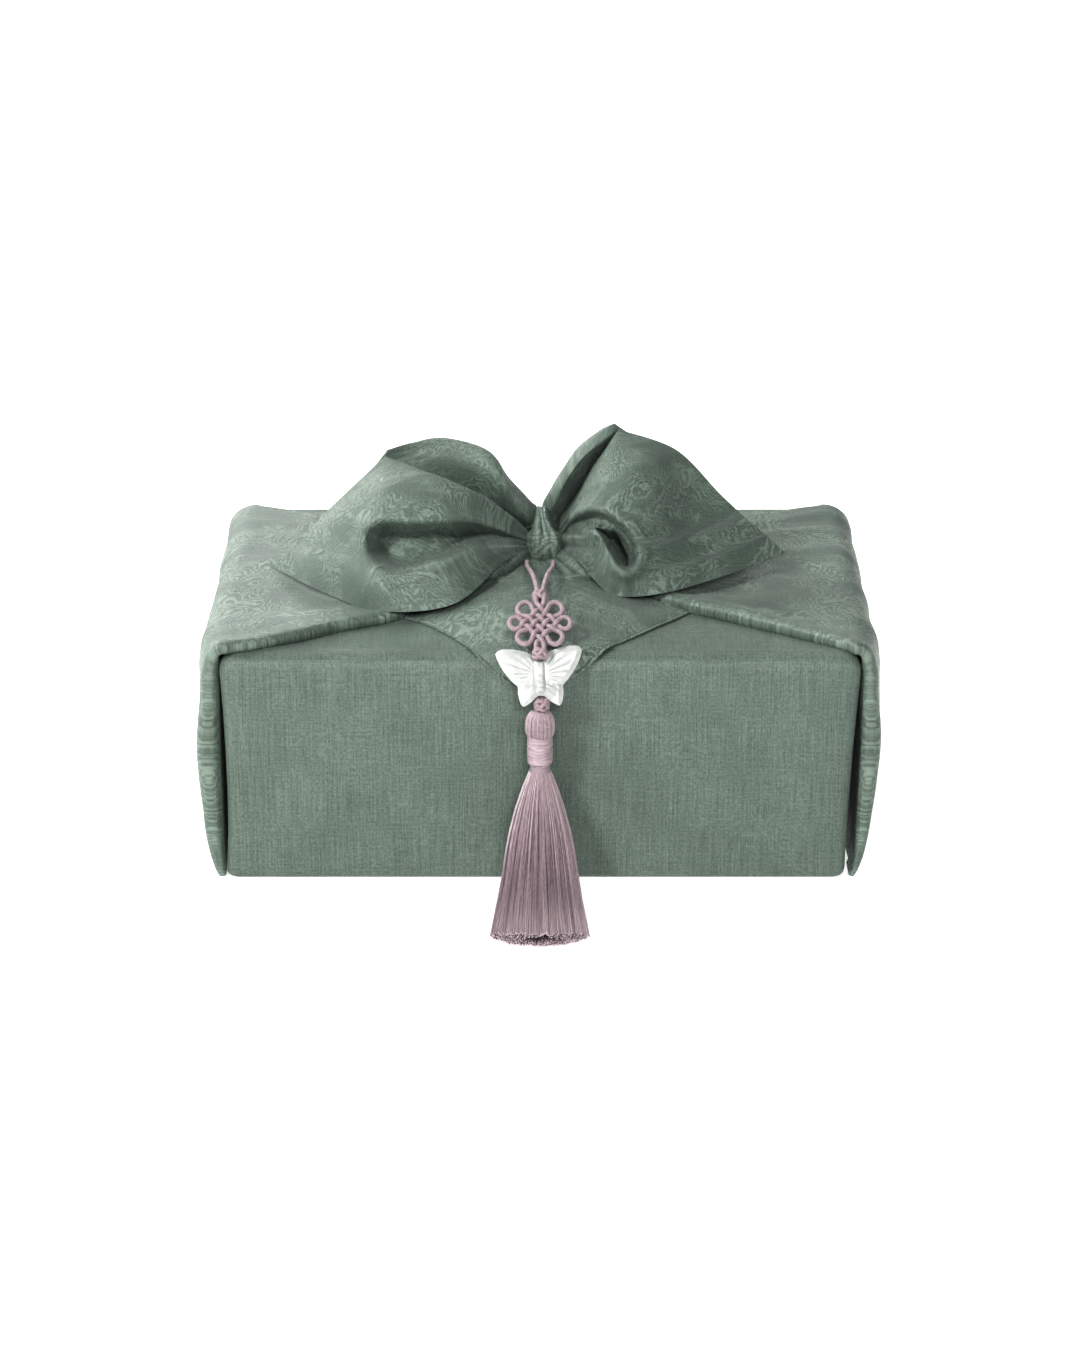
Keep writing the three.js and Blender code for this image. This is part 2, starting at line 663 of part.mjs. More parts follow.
// carved stone butterfly, a lens-shaped slab with a thicker body
const butterflySize = { top: [0, -108.4, 106.2], foot: [0, -122, 84.2], thick: 3.0, turn: 3 };
const wingOutline = [
  { across: 0, up: 7 }, { across: 1.6, up: 8.6 }, { across: 5.6, up: 10.9 }, { across: 11, up: 12.3 },
  { across: 15.8, up: 12.4 }, { across: 18.2, up: 10.6 }, { across: 17, up: 6.4 },
  { across: 14.8, up: 2.2 }, { across: 12, up: -1.6 }, { across: 9.6, up: -4.2 },
  { across: 9.6, up: -7 }, { across: 8.8, up: -11.4 }, { across: 7.4, up: -13 },
  { across: 4.2, up: -11.2 }, { across: 1.6, up: -8.8 }, { across: 0, up: -8.4 },
];

function butterfly() {
  const top = vec(...butterflySize.top);
  const foot = vec(...butterflySize.foot);
  const up = top.clone().sub(foot).normalize();
  const centre = top.clone().add(foot).multiplyScalar(0.5);
  const right = vec(1, 0, 0);
  const front = right.clone().cross(up).normalize();
  const turn = THREE.MathUtils.degToRad(butterflySize.turn);
  up.applyAxisAngle(front, turn);
  right.applyAxisAngle(front, turn);
  const rightHalf = wingOutline.map((p) => [p.across, p.up]);
  const leftHalf = wingOutline.slice(1, -1).reverse().map((p) => [-p.across, p.up * 0.98]);
  const outline = rightHalf.concat(leftHalf);
  const half = butterflySize.thick / 2;
  const level = (scale, depth) => outline.map(([x, z]) => centre.clone()
    .addScaledVector(right, x * scale).addScaledVector(up, z * scale - 0.4 * (1 - scale))
    .addScaledVector(front, depth));
  return loft([
    level(0.45, -half), level(0.93, -half * 0.9), level(1, -half * 0.4), level(1, half * 0.3),
    level(0.93, half * 0.9), level(0.7, half * 1.1), level(0.3, half * 1.5),
  ]);
}

// tassel: head over a core, and strands that hang down the front and lie out on the floor
const tasselY = -118.4;
const headProfile = [
  { radius: 1.5, z: 81.2 }, { radius: 3.6, z: 80.6 }, { radius: 5.3, z: 78.8 },
  { radius: headRadius, z: 75.6 }, { radius: headRadius, z: 72.4 }, { radius: 5.6, z: 70.4 },
  { radius: coreRadius, z: 70.3 }, { radius: coreRadius, z: 57.6 }, { radius: 5.3, z: 57.3 },
  { radius: 6.5, z: 51 }, { radius: 6.1, z: 50 },
];

function tasselHead() {
  return loft(headProfile.map((ring) => {
    const loop = [];
    for (let i = 0; i < 20; i += 1) {
      const angle = (2 * Math.PI * i) / 20;
      loop.push(vec(ring.radius * Math.cos(angle), tasselY + ring.radius * Math.sin(angle), ring.z));
    }
    return loop;
  }));
}

const skirtPath = [
  { y: -118.6, z: 52, wide: 5.8, deep: 4.8 }, { y: -119.6, z: 39, wide: 10.9, deep: 5.8 },
  { y: -121.6, z: 25, wide: 13.9, deep: 6.0 }, { y: -127, z: 13, wide: 16.0, deep: 5.4 },
  { y: -139, z: 6.4, wide: 17.6, deep: 4.2 }, { y: -158, z: 4.2, wide: 19.1, deep: 3.2 },
  { y: -182, z: 3.8, wide: 20.6, deep: 3.0 },
];

function strand(k) {
  const radius = Math.sqrt((k + 0.5) / strandCount);
  const angle = k * 2.399963;
  const a = radius * Math.cos(angle);
  const b = radius * Math.sin(angle);
  const sway = 0.5 * Math.sin(k * 12.9898);
  const last = skirtPath.length - 1;
  const rows = skirtPath.map((s, i) => {
    const before = skirtPath[Math.max(0, i - 1)];
    const after = skirtPath[Math.min(last, i + 1)];
    const run = vec(0, after.y - before.y, after.z - before.z).normalize();
    const out = vec(0, run.z, -run.y);
    const flow = i / last;
    const x = a * s.wide + sway * flow;
    const depth = b * s.deep;
    const centre = vec(x, s.y + depth * out.y, s.z + depth * out.z);
    if (i === last) centre.y += 5 * a * a + 1.5 * sway;
    const loop = [];
    for (let j = 0; j < strandSides; j += 1) {
      const turn = (2 * Math.PI * j) / strandSides + Math.PI / 2;
      loop.push(centre.clone().addScaledVector(vec(1, 0, 0), strandRadius * Math.cos(turn))
        .addScaledVector(out, -strandRadius * Math.sin(turn)));
    }
    return loop;
  });
  return loft(rows);
}

function tassel() {
  const strands = [];
  for (let k = 0; k < strandCount; k += 1) strands.push(solidOf(strand(k)));
  return cleaned(wasm.Manifold.union([solidOf(tasselHead()), ...strands]));
}

// thread bound round the neck
function neckBinding() {
  const inner = coreRadius + gap;
  const profile = [
    [inner, 57.9], [neckRadius - 0.3, 57.9], [neckRadius, 58.8], [neckRadius, 64.6],
    [neckRadius - 0.35, 65.2], [neckRadius, 65.8], [neckRadius, 69.2], [neckRadius - 0.3, 70.0],
    [inner, 70.0],
  ];
  const sides = 20;
  const rows = profile.map(([r, z]) => {
    const loop = [];
    for (let i = 0; i < sides; i += 1) {
      const angle = (2 * Math.PI * i) / sides;
      loop.push(vec(r * Math.cos(angle), tasselY + r * Math.sin(angle), z));
    }
    return loop;
  });
  return loft(rows, true);
}

// nodes
const sage = { color: 0x75857a, roughness: 0.5 };
const lilac = { color: 0xab9195, roughness: 0.6 };
const jade = { color: 0xe3e4df, roughness: 0.35 };
const knotTilt = [0, Math.cos(Math.PI / 10), Math.sin(Math.PI / 10)];

const pieces = {
  cloth: [cloth(), sage],
  cord_loop: [cordLoop(), lilac],
  button_knot_top: [buttonKnot([0, -86.4, 120.3], 3.2, 6.1, knotTilt), lilac],
  endless_knot: [endlessKnot(), lilac],
  button_knot_mid: [buttonKnot([0, -114.3, 104.9], 3.1, 4.6, [0, 0.45, 0.9]), lilac],
  butterfly: [butterfly(), jade],
  button_knot_low: [buttonKnot([0.8, -119.6, 84.4], 3.2, 5.8, [0, 0, 1]), lilac],
  tassel: [tassel(), lilac],
  neck_binding: [neckBinding(), lilac],
};

const group = new THREE.Group();
for (const [name, [shape, look]] of Object.entries(pieces)) {
  const solid = shape instanceof THREE.BufferGeometry ? solidOf(shape) : shape;
  const geometry = geometryOf(solid);
  geometry.computeVertexNormals();
  const mesh = new THREE.Mesh(geometry, new THREE.MeshStandardMaterial(look));
  mesh.name = name;
  group.add(mesh);
}

export default group;
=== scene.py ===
import math
import bmesh
import bpy
import numpy as np
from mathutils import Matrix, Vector


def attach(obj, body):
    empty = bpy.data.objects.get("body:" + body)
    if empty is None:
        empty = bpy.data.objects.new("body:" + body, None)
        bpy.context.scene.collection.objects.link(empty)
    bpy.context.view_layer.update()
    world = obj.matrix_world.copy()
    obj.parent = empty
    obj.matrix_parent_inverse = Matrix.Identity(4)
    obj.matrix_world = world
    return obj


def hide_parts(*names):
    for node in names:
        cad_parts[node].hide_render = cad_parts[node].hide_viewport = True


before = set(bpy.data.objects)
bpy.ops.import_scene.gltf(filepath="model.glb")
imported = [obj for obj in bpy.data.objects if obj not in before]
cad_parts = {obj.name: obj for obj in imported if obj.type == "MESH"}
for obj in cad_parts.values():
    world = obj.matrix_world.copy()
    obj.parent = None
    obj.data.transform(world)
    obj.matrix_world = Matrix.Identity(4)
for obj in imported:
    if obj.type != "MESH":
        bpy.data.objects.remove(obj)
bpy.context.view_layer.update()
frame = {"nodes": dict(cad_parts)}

mm = 0.001
print("frame loaded, nodes:", ", ".join(frame["nodes"]))

# camera
cameraSet = {"lens": 105.6, "place": (0.0, -1.6788, 0.651), "lookDown": 19.55}

cameraData = bpy.data.cameras.new("camera")
cameraData.lens = cameraSet["lens"]
cameraData.sensor_width = 36
camera = bpy.data.objects.new("camera", cameraData)
camera.location = cameraSet["place"]
camera.rotation_euler = (math.radians(90 - cameraSet["lookDown"]), 0, 0)
bpy.context.scene.collection.objects.link(camera)
bpy.context.scene.camera = camera
bpy.context.scene.view_settings.view_transform = "Standard"
bpy.context.scene.view_settings.gamma = 0.72
bpy.context.scene.view_settings.exposure = 0.2


# small helpers
def ease(t):
    t = np.clip(t, 0, 1)
    return t * t * (3 - 2 * t)


def mix(a, b, t):
    return a + (b - a) * t


def column(table, key, name, at):
    return np.interp(at, [row[key] for row in table], [row[name] for row in table])


# slow random swell over a surface, about -1 to 1
def uneven(x, y, seed, size, waves=7):
    rng = np.random.default_rng(seed)
    total = 0
    for _ in range(waves):
        turn, phase = rng.uniform(0, 2 * np.pi, 2)
        step = size * rng.uniform(0.7, 1.7)
        total = total + np.sin((x * np.cos(turn) + y * np.sin(turn)) * 2 * np.pi / step + phase)
    return total / waves ** 0.5 / 1.4


# smooth curve value through evenly spaced points, for many t at once
def through(points, t):
    points = np.asarray(points, float)
    last = len(points) - 1
    padded = np.concatenate([[2 * points[0] - points[1]], points, [2 * points[-1] - points[-2]]])
    at = np.clip(t, 0, 1) * last
    i = np.minimum(last - 1, at.astype(int))
    f = (at - i).reshape((-1,) + (1,) * (points.ndim - 1))
    a, b, c, d = padded[i], padded[i + 1], padded[i + 2], padded[i + 3]
    return 0.5 * (2 * b + (c - a) * f + (2 * a - 5 * b + 4 * c - d) * f ** 2
                  + (3 * b - a - 3 * c + d) * f ** 3)


# evenly spaced points on a smooth line whose knots are spaced by the root of their distance
def cordLine(points, step, closed=False):
    points = np.asarray(points, float)
    if closed:
        ring = np.concatenate([points[-1:], points, points[:2]])
    else:
        ring = np.concatenate([[2 * points[0] - points[1]], points, [2 * points[-1] - points[-2]]])
    out = []
    for i in range(1, len(ring) - 2):
        p = ring[i - 1:i + 3]
        knots = np.concatenate([[0], np.cumsum(np.linalg.norm(np.diff(p, axis=0), axis=1) ** 0.5)])
        t = np.linspace(knots[1], knots[2], 24, endpoint=False)[:, None]
        def between(u, v, a, b):
            return (b - t) / (b - a) * u + (t - a) / (b - a) * v
        a1 = between(p[0], p[1], knots[0], knots[1])
        a2 = between(p[1], p[2], knots[1], knots[2])
        a3 = between(p[2], p[3], knots[2], knots[3])
        b1 = between(a1, a2, knots[0], knots[2])
        b2 = between(a2, a3, knots[1], knots[3])
        out.append(between(b1, b2, knots[1], knots[2]))
    line = np.concatenate(out + ([] if closed else [points[-1:]]))
    if closed:
        line = np.concatenate([line, line[:1]])
    run = np.concatenate([[0], np.cumsum(np.linalg.norm(np.diff(line, axis=0), axis=1))])
    count = max(4, int(round(run[-1] / step)))
    at = np.linspace(0, run[-1], count + 1)
    even = np.stack([np.interp(at, run, line[:, k]) for k in range(3)], axis=1)
    return even[:-1] if closed else even


def gridFaces(rows, cols, ringAcross=False, ringAlong=False, start=0):
    i, j = np.meshgrid(np.arange(rows if ringAlong else rows - 1),
                       np.arange(cols if ringAcross else cols - 1), indexing="ij")
    a = i * cols + j
    b = i * cols + (j + 1) % cols
    c = ((i + 1) % rows) * cols + (j + 1) % cols
    d = ((i + 1) % rows) * cols + j
    return np.stack([a, b, c, d], axis=-1).reshape(-1, 4) + start


# a piece from points in millimetres, its place in its mesh; uvs one a face corner
def meshPiece(name, points, faces, uvs=None, material=None):
    mesh = bpy.data.meshes.new(name)
    mesh.from_pydata((np.asarray(points) * mm).tolist(), [], [list(f) for f in faces])
    if uvs is not None:
        layer = mesh.uv_layers.new(name="threads")
        layer.data.foreach_set("uv", np.asarray(uvs, np.float32).ravel())
    mesh.validate()
    mesh.update()
    piece = bpy.data.objects.new(name, mesh)
    bpy.context.scene.collection.objects.link(piece)
    if material:
        mesh.materials.append(material)
    return piece


def only(piece):
    bpy.ops.object.select_all(action="DESELECT")
    piece.select_set(True)
    bpy.context.view_layer.objects.active = piece


def applyModifiers(piece):
    only(piece)
    for modifier in list(piece.modifiers):
        bpy.ops.object.modifier_apply(modifier=modifier.name)


def smooth(piece, angle=None):
    only(piece)
    if angle is None:
        bpy.ops.object.shade_smooth()
    else:
        bpy.ops.object.shade_smooth_by_angle(angle=math.radians(angle))


# merges doubles and turns all faces out
def outward(piece):
    only(piece)
    bpy.ops.object.mode_set(mode="EDIT")
    bpy.ops.mesh.select_all(action="SELECT")
    bpy.ops.mesh.remove_doubles(threshold=1e-7)
    bpy.ops.mesh.normals_make_consistent(inside=False)
    bpy.ops.object.mode_set(mode="OBJECT")


# node helpers
def newMaterial(name):
    material = bpy.data.materials.new(name)
    material.use_nodes = True
    nodes = material.node_tree.nodes
    nodes.clear()
    shader = nodes.new("ShaderNodeBsdfPrincipled")
    output = nodes.new("ShaderNodeOutputMaterial")
    material.node_tree.links.new(shader.outputs[0], output.inputs["Surface"])
    return material, shader


# a node with its values set and its inputs linked
def add(material, kind, links=(), **values):
    node = material.node_tree.nodes.new(kind)
    for key, value in values.items():
        if hasattr(node, key):
            setattr(node, key, value)
        else:
            node.inputs[key.replace("_", " ")].default_value = value
    for socket, source in dict(links).items():
        material.node_tree.links.new(source, node.inputs[socket])
    return node


def maths(material, operation, a, b=None, c=None, clamp=False):
    node = material.node_tree.nodes.new("ShaderNodeMath")
    node.operation = operation
    node.use_clamp = clamp
    for i, value in enumerate((a, b, c)):
        if value is None:
            continue
        if hasattr(value, "is_output"):
            material.node_tree.links.new(value, node.inputs[i])
        else:
            node.inputs[i].default_value = value
    return node.outputs[0]


def ramp(material, source, low, high, toLow=0.0, toHigh=1.0):
    node = material.node_tree.nodes.new("ShaderNodeMapRange")
    node.interpolation_type = "SMOOTHSTEP"
    material.node_tree.links.new(source, node.inputs[0])
    for i, value in enumerate((low, high, toLow, toHigh)):
        node.inputs[i + 1].default_value = value
    return node.outputs[0]


def blendColours(material, amount, first, second):
    node = material.node_tree.nodes.new("ShaderNodeMix")
    node.data_type = "RGBA"
    tree = material.node_tree
    for socket, value in ((node.inputs[0], amount), (node.inputs[6], first), (node.inputs[7], second)):
        if hasattr(value, "is_output"):
            tree.links.new(value, socket)
        elif isinstance(value, (int, float)):
            socket.default_value = value
        else:
            socket.default_value = (*value, 1)
    return node.outputs[2]


# satin with woven flowers
satin = {
    "shade": (0.045, 0.067, 0.051), "light": (0.222, 0.277, 0.235),
    "flowerSize": 30.0, "threadPitch": 0.46, "roughness": 0.37,
}


def satinMaterial():
    material, shader = newMaterial("sageSatin")
    tree = material.node_tree
    uv = add(material, "ShaderNodeUVMap", uv_map="threads").outputs[0]    # hundredths of a millimetre run: 1 is 100 mm

    def stretched(u, v, **values):
        mapping = add(material, "ShaderNodeMapping", {"Vector": uv}, Scale=(u, v, 1))
        return add(material, "ShaderNodeTexNoise", {"Vector": mapping.outputs[0]}, **values).outputs[0]

    warp = stretched(170, 4, Scale=1.0, Detail=4.0, Roughness=0.65)          # long slubs down the cloth
    weft = stretched(6, 190, Scale=1.0, Detail=3.0, Roughness=0.6)
    grain = stretched(105, 80, Scale=1.0, Detail=3.0, Roughness=0.7)
    cloud = stretched(3.2, 3.2, Scale=1.0, Detail=4.0, Roughness=0.55)

    # flowers: one in each cell, six petals with a ring, broken edges
    cellScale = 100 / satin["flowerSize"]
    wobble = add(material, "ShaderNodeTexNoise", {"Vector": uv}, Scale=38.0, Detail=3.0)
    shift = add(material, "ShaderNodeVectorMath", {0: wobble.outputs["Color"]}, operation="SUBTRACT")
    shift.inputs[1].default_value = (0.5, 0.5, 0.5)
    small = add(material, "ShaderNodeVectorMath", {0: shift.outputs[0]}, operation="SCALE")
    small.inputs["Scale"].default_value = 0.05
    moved = add(material, "ShaderNodeVectorMath", {0: uv, 1: small.outputs[0]}, operation="ADD").outputs[0]
    cells = add(material, "ShaderNodeTexVoronoi", {"Vector": moved}, voronoi_dimensions="2D",
                Scale=cellScale, Randomness=0.75)
    scaled = add(material, "ShaderNodeVectorMath", {0: moved}, operation="SCALE")
    scaled.inputs["Scale"].default_value = cellScale
    place = add(material, "ShaderNodeVectorMath", {0: cells.outputs["Position"]}, operation="SCALE")
    place.inputs["Scale"].default_value = cellScale
    local = add(material, "ShaderNodeVectorMath", {0: scaled.outputs[0], 1: place.outputs[0]}, operation="SUBTRACT")
    parts = add(material, "ShaderNodeSeparateXYZ", {0: local.outputs[0]})
    angle = maths(material, "ARCTAN2", parts.outputs[1], parts.outputs[0])
    far = cells.outputs["Distance"]
    petals = maths(material, "MULTIPLY_ADD", maths(material, "COSINE", maths(material, "MULTIPLY", angle, 6.0)), 0.07, 0.3)
    inside = ramp(material, maths(material, "SUBTRACT", petals, far), -0.015, 0.03)
    veins = ramp(material, maths(material, "ABSOLUTE", maths(material, "SINE", maths(material, "MULTIPLY", angle, 6.0))), 0.1, 0.4)
    ring = ramp(material, maths(material, "ABSOLUTE", maths(material, "SUBTRACT", far, 0.1)), 0.012, 0.035)
    flower = maths(material, "MULTIPLY", inside, maths(material, "MULTIPLY", veins, ring))
    # woven lines that follow each other round the flowers, in clouds
    drift = add(material, "ShaderNodeTexNoise", {"Vector": moved}, Scale=3.4, Detail=1.5, Roughness=0.5).outputs[0]
    field = maths(material, "MULTIPLY_ADD", far, 1.1, maths(material, "MULTIPLY", drift, 3.2))
    lines = maths(material, "SINE", maths(material, "MULTIPLY", field, 46.0))
    lines = maths(material, "MULTIPLY_ADD", ramp(material, lines, -0.2, 0.9), 1.0, maths(material, "MULTIPLY", flower, 0.35))
    patchy = ramp(material, cloud, 0.4, 0.54)
    figured = add(material, "ShaderNodeAttribute", attribute_name="figured").outputs["Fac"]
    motif = maths(material, "MULTIPLY", lines, maths(material, "MULTIPLY", patchy, figured), clamp=True)

    # colour: ground, slubs, flowers a little lighter
    tone = maths(material, "MULTIPLY_ADD", warp, 1.0, 0.0)
    tone = maths(material, "MULTIPLY_ADD", weft, 0.5, tone)
    tone = maths(material, "MULTIPLY_ADD", grain, 0.95, tone)
    tone = maths(material, "MULTIPLY_ADD", cloud, 0.1, tone)
    tone = maths(material, "MULTIPLY_ADD", motif, 0.46, tone)
    tone = maths(material, "SUBTRACT", tone, 0.88, clamp=True)
    colour = blendColours(material, tone, satin["shade"], satin["light"])
    tree.links.new(colour, shader.inputs["Base Color"])

    rough = maths(material, "MULTIPLY_ADD", motif, -0.1, satin["roughness"])
    rough = maths(material, "MULTIPLY_ADD", warp, 0.12, rough)
    tree.links.new(rough, shader.inputs["Roughness"])
    shader.inputs["Sheen Weight"].default_value = 0.2
    shader.inputs["Sheen Roughness"].default_value = 0.35
    shader.inputs["Sheen Tint"].default_value = (0.86, 0.93, 0.88, 1)
    shader.inputs["Specular IOR Level"].default_value = 0.6

    # threads: fine ribs both ways, over and under
    pitch = 100 / satin["threadPitch"] * 2 * math.pi
    across = add(material, "ShaderNodeSeparateXYZ", {0: uv})
    ribs = maths(material, "SINE", maths(material, "MULTIPLY", across.outputs[0], pitch))
    bars = maths(material, "SINE", maths(material, "MULTIPLY", across.outputs[1], pitch * 0.8))
    weave = maths(material, "MULTIPLY", ribs, bars)
    height = maths(material, "MULTIPLY_ADD", weave, 0.12, 0.0)
    height = maths(material, "MULTIPLY_ADD", warp, 0.55, height)
    height = maths(material, "MULTIPLY_ADD", weft, 0.4, height)
    height = maths(material, "MULTIPLY_ADD", grain, 0.9, height)
    height = maths(material, "MULTIPLY_ADD", motif, 0.75, height)
    bump = add(material, "ShaderNodeBump", {"Height": height}, Strength=0.75, Distance=0.0003)
    tree.links.new(bump.outputs[0], shader.inputs["Normal"])
    return material


# braided cord, tassel thread, stone
braid = {"dark": (0.21, 0.152, 0.17), "light": (0.52, 0.432, 0.455), "pitch": 1.15, "strands": 4}


def braidMaterial():
    material, shader = newMaterial("lilacBraid")
    tree = material.node_tree
    uv = add(material, "ShaderNodeUVMap", uv_map="threads").outputs[0]    # x round the cord, y along it in pitches
    parts = add(material, "ShaderNodeSeparateXYZ", {0: uv})
    turn = maths(material, "MULTIPLY", parts.outputs[0], 2 * math.pi * braid["strands"] / 2)
    run = maths(material, "MULTIPLY", parts.outputs[1], 2 * math.pi)
    one = maths(material, "SINE", maths(material, "ADD", turn, run))
    two = maths(material, "SINE", maths(material, "SUBTRACT", turn, run))
    plait = maths(material, "ABSOLUTE", maths(material, "MULTIPLY", one, two))
    noise = add(material, "ShaderNodeTexNoise", {"Vector": add(material, "ShaderNodeTexCoord").outputs["Object"]},
                Scale=900.0, Detail=3.0).outputs[0]
    # painted shade: the colour is darker in the grooves between the strands and lighter on their crowns, with random
    # tone from the noise
    tone = maths(material, "MULTIPLY_ADD", plait, 0.62, maths(material, "MULTIPLY_ADD", noise, 0.7, -0.18), clamp=True)
    tree.links.new(blendColours(material, tone, braid["dark"], braid["light"]), shader.inputs["Base Color"])
    tree.links.new(maths(material, "MULTIPLY_ADD", noise, 0.2, 0.42), shader.inputs["Roughness"])
    shader.inputs["Sheen Weight"].default_value = 0.3
    shader.inputs["Sheen Roughness"].default_value = 0.4
    shader.inputs["Sheen Tint"].default_value = (0.95, 0.85, 0.88, 1)
    bump = add(material, "ShaderNodeBump", {"Height": maths(material, "MULTIPLY_ADD", noise, 0.4, plait)},
               Strength=0.6, Distance=0.00018)
    tree.links.new(bump.outputs[0], shader.inputs["Normal"])
    return material


thread = {"dark": (0.14, 0.092, 0.108), "light": (0.58, 0.495, 0.52)}


def threadMaterial():
    material, shader = newMaterial("lilacThread")
    tree = material.node_tree
    uv = add(material, "ShaderNodeUVMap", uv_map="threads").outputs[0]    # x a value of its own for each thread, y along it
    parts = add(material, "ShaderNodeSeparateXYZ", {0: uv})
    fine = add(material, "ShaderNodeTexNoise", {"Vector": add(material, "ShaderNodeMapping", {"Vector": uv}, Scale=(60, 30, 1)).outputs[0]},
               Scale=1.0, Detail=2.0).outputs[0]
    # painted highlight: each thread's colour is lighter near its top end, and lighter again towards its far tip
    creaseFadeAndEndHighlight = ramp(material, parts.outputs[1], 0.0, 0.5, 0.2, 0.0)
    tone = maths(material, "MULTIPLY_ADD", parts.outputs[0], 0.6, maths(material, "MULTIPLY_ADD", fine, 0.9, -0.2))
    creaseFadeAndEndHighlight = maths(material, "ADD", creaseFadeAndEndHighlight, ramp(material, parts.outputs[1], 0.6, 1.0, 0.0, 0.2))
    tone = maths(material, "ADD", tone, creaseFadeAndEndHighlight, clamp=True)
    tree.links.new(blendColours(material, tone, thread["dark"], thread["light"]), shader.inputs["Base Color"])
    tree.links.new(maths(material, "MULTIPLY_ADD", fine, 0.2, 0.3), shader.inputs["Roughness"])
    shader.inputs["Sheen Weight"].default_value = 0.2
    shader.inputs["Sheen Tint"].default_value = (0.95, 0.85, 0.88, 1)
    shader.inputs["Specular IOR Level"].default_value = 0.6
    bump = add(material, "ShaderNodeBump", {"Height": fine}, Strength=0.4, Distance=0.00012)
    tree.links.new(bump.outputs[0], shader.inputs["Normal"])
    return material


stone = {"milk": (0.54, 0.54, 0.53), "clear": (0.44, 0.455, 0.44)}


def stoneMaterial():
    material, shader = newMaterial("paleStone")
    tree = material.node_tree
    place = add(material, "ShaderNodeTexCoord").outputs["Object"]
    cloud = add(material, "ShaderNodeTexNoise", {"Vector": place}, Scale=130.0, Detail=5.0, Roughness=0.6, Distortion=0.8).outputs[0]
    fleck = add(material, "ShaderNodeTexNoise", {"Vector": place}, Scale=900.0, Detail=2.0).outputs[0]
    tone = ramp(material, cloud, 0.35, 0.68)
    tree.links.new(blendColours(material, tone, stone["clear"], stone["milk"]), shader.inputs["Base Color"])
    tree.links.new(maths(material, "MULTIPLY_ADD", fleck, 0.16, 0.16), shader.inputs["Roughness"])
    shader.inputs["Subsurface Weight"].default_value = 0.45
    shader.inputs["Subsurface Radius"].default_value = (1.0, 1.0, 0.9)
    shader.inputs["Subsurface Scale"].default_value = 0.003
    shader.inputs["Coat Weight"].default_value = 0.25
    shader.inputs["Coat Roughness"].default_value = 0.12
    bump = add(material, "ShaderNodeBump", {"Height": maths(material, "MULTIPLY_ADD", fleck, 0.3, cloud)},
               Strength=0.12, Distance=0.0002)
    tree.links.new(bump.outputs[0], shader.inputs["Normal"])
    return material


sageSatin = satinMaterial()
lilacBraid = braidMaterial()
lilacThread = threadMaterial()
paleStone = stoneMaterial()
print("materials made")


# braided cords
# points, faces and uvs of a cord with plaited relief along an even line
def braidedTube(line, radius, closed=False, sides=12, relief=0.07):
    count = len(line)
    if closed:
        run = np.roll(line, -1, axis=0) - np.roll(line, 1, axis=0)
    else:
        run = np.gradient(line, axis=0)
    run /= np.linalg.norm(run, axis=1)[:, None]
    normal = np.cross(run[0], (0.31, 0.2, 0.93))
    normal /= np.linalg.norm(normal)
    normals = [normal]
    for k in range(1, count):
        normal = normals[-1] - run[k] * np.dot(normals[-1], run[k])
        normals.append(normal / np.linalg.norm(normal))
    normals = np.array(normals)
    sideways = np.cross(run, normals)
    if closed:    # the last frame is turned back to the first, spread over the whole ring
        back = normals[0] - run[-1] * np.dot(normals[0], run[-1])
        twist = math.atan2(np.dot(back, sideways[-1]), np.dot(back, normals[-1]))
        turn = np.linspace(0, twist, count, endpoint=False)[:, None]
        normals, sideways = (normals * np.cos(turn) + sideways * np.sin(turn),
                             sideways * np.cos(turn) - normals * np.sin(turn))
    step = np.linalg.norm(line[1] - line[0])
    around = np.arange(sides) * 2 * np.pi / sides
    along = np.arange(count) * step / braid["pitch"]
    if closed:
        along *= round(count * step / braid["pitch"]) / (count * step / braid["pitch"])
    half = braid["strands"] / 2
    plait = np.abs(np.sin(half * around[None] + 2 * np.pi * along[:, None])
                   * np.sin(half * around[None] - 2 * np.pi * along[:, None]))
    reach = radius * (1 - relief + 1.6 * relief * plait)
    points = (line[:, None] + normals[:, None] * (reach * np.cos(around))[..., None]
              + sideways[:, None] * (reach * np.sin(around))[..., None])
    faces = gridFaces(count, sides, ringAcross=True, ringAlong=closed)
    rows, cols = faces // sides, faces % sides
    u = cols / sides
    u = np.where((cols == 0) & (cols.max(axis=1) == sides - 1)[:, None], 1.0, u)
    lastRow = closed & ((rows == 0) & (rows.max(axis=1) == count - 1)[:, None])
    v = np.where(lastRow, along[-1] + along[1], along[rows])
    faces = faces.tolist()
    uvs = np.stack([u, v], axis=-1).reshape(-1, 2)
    if not closed:
        faces += [list(range(sides))[::-1], list(range((count - 1) * sides, count * sides))]
        uvs = np.concatenate([uvs, np.tile([[0.5, 0.0]], (sides, 1)), np.tile([[0.5, along[-1]]], (sides, 1))])
    return points.reshape(-1, 3), faces, uvs


def joined(parts):
    points, faces, uvs, start = [], [], [], 0
    for p, f, u in parts:
        points.append(p)
        faces += [[i + start for i in face] for face in f]
        uvs.append(u)
        start += len(p)
    return np.concatenate(points), faces, np.concatenate(uvs)


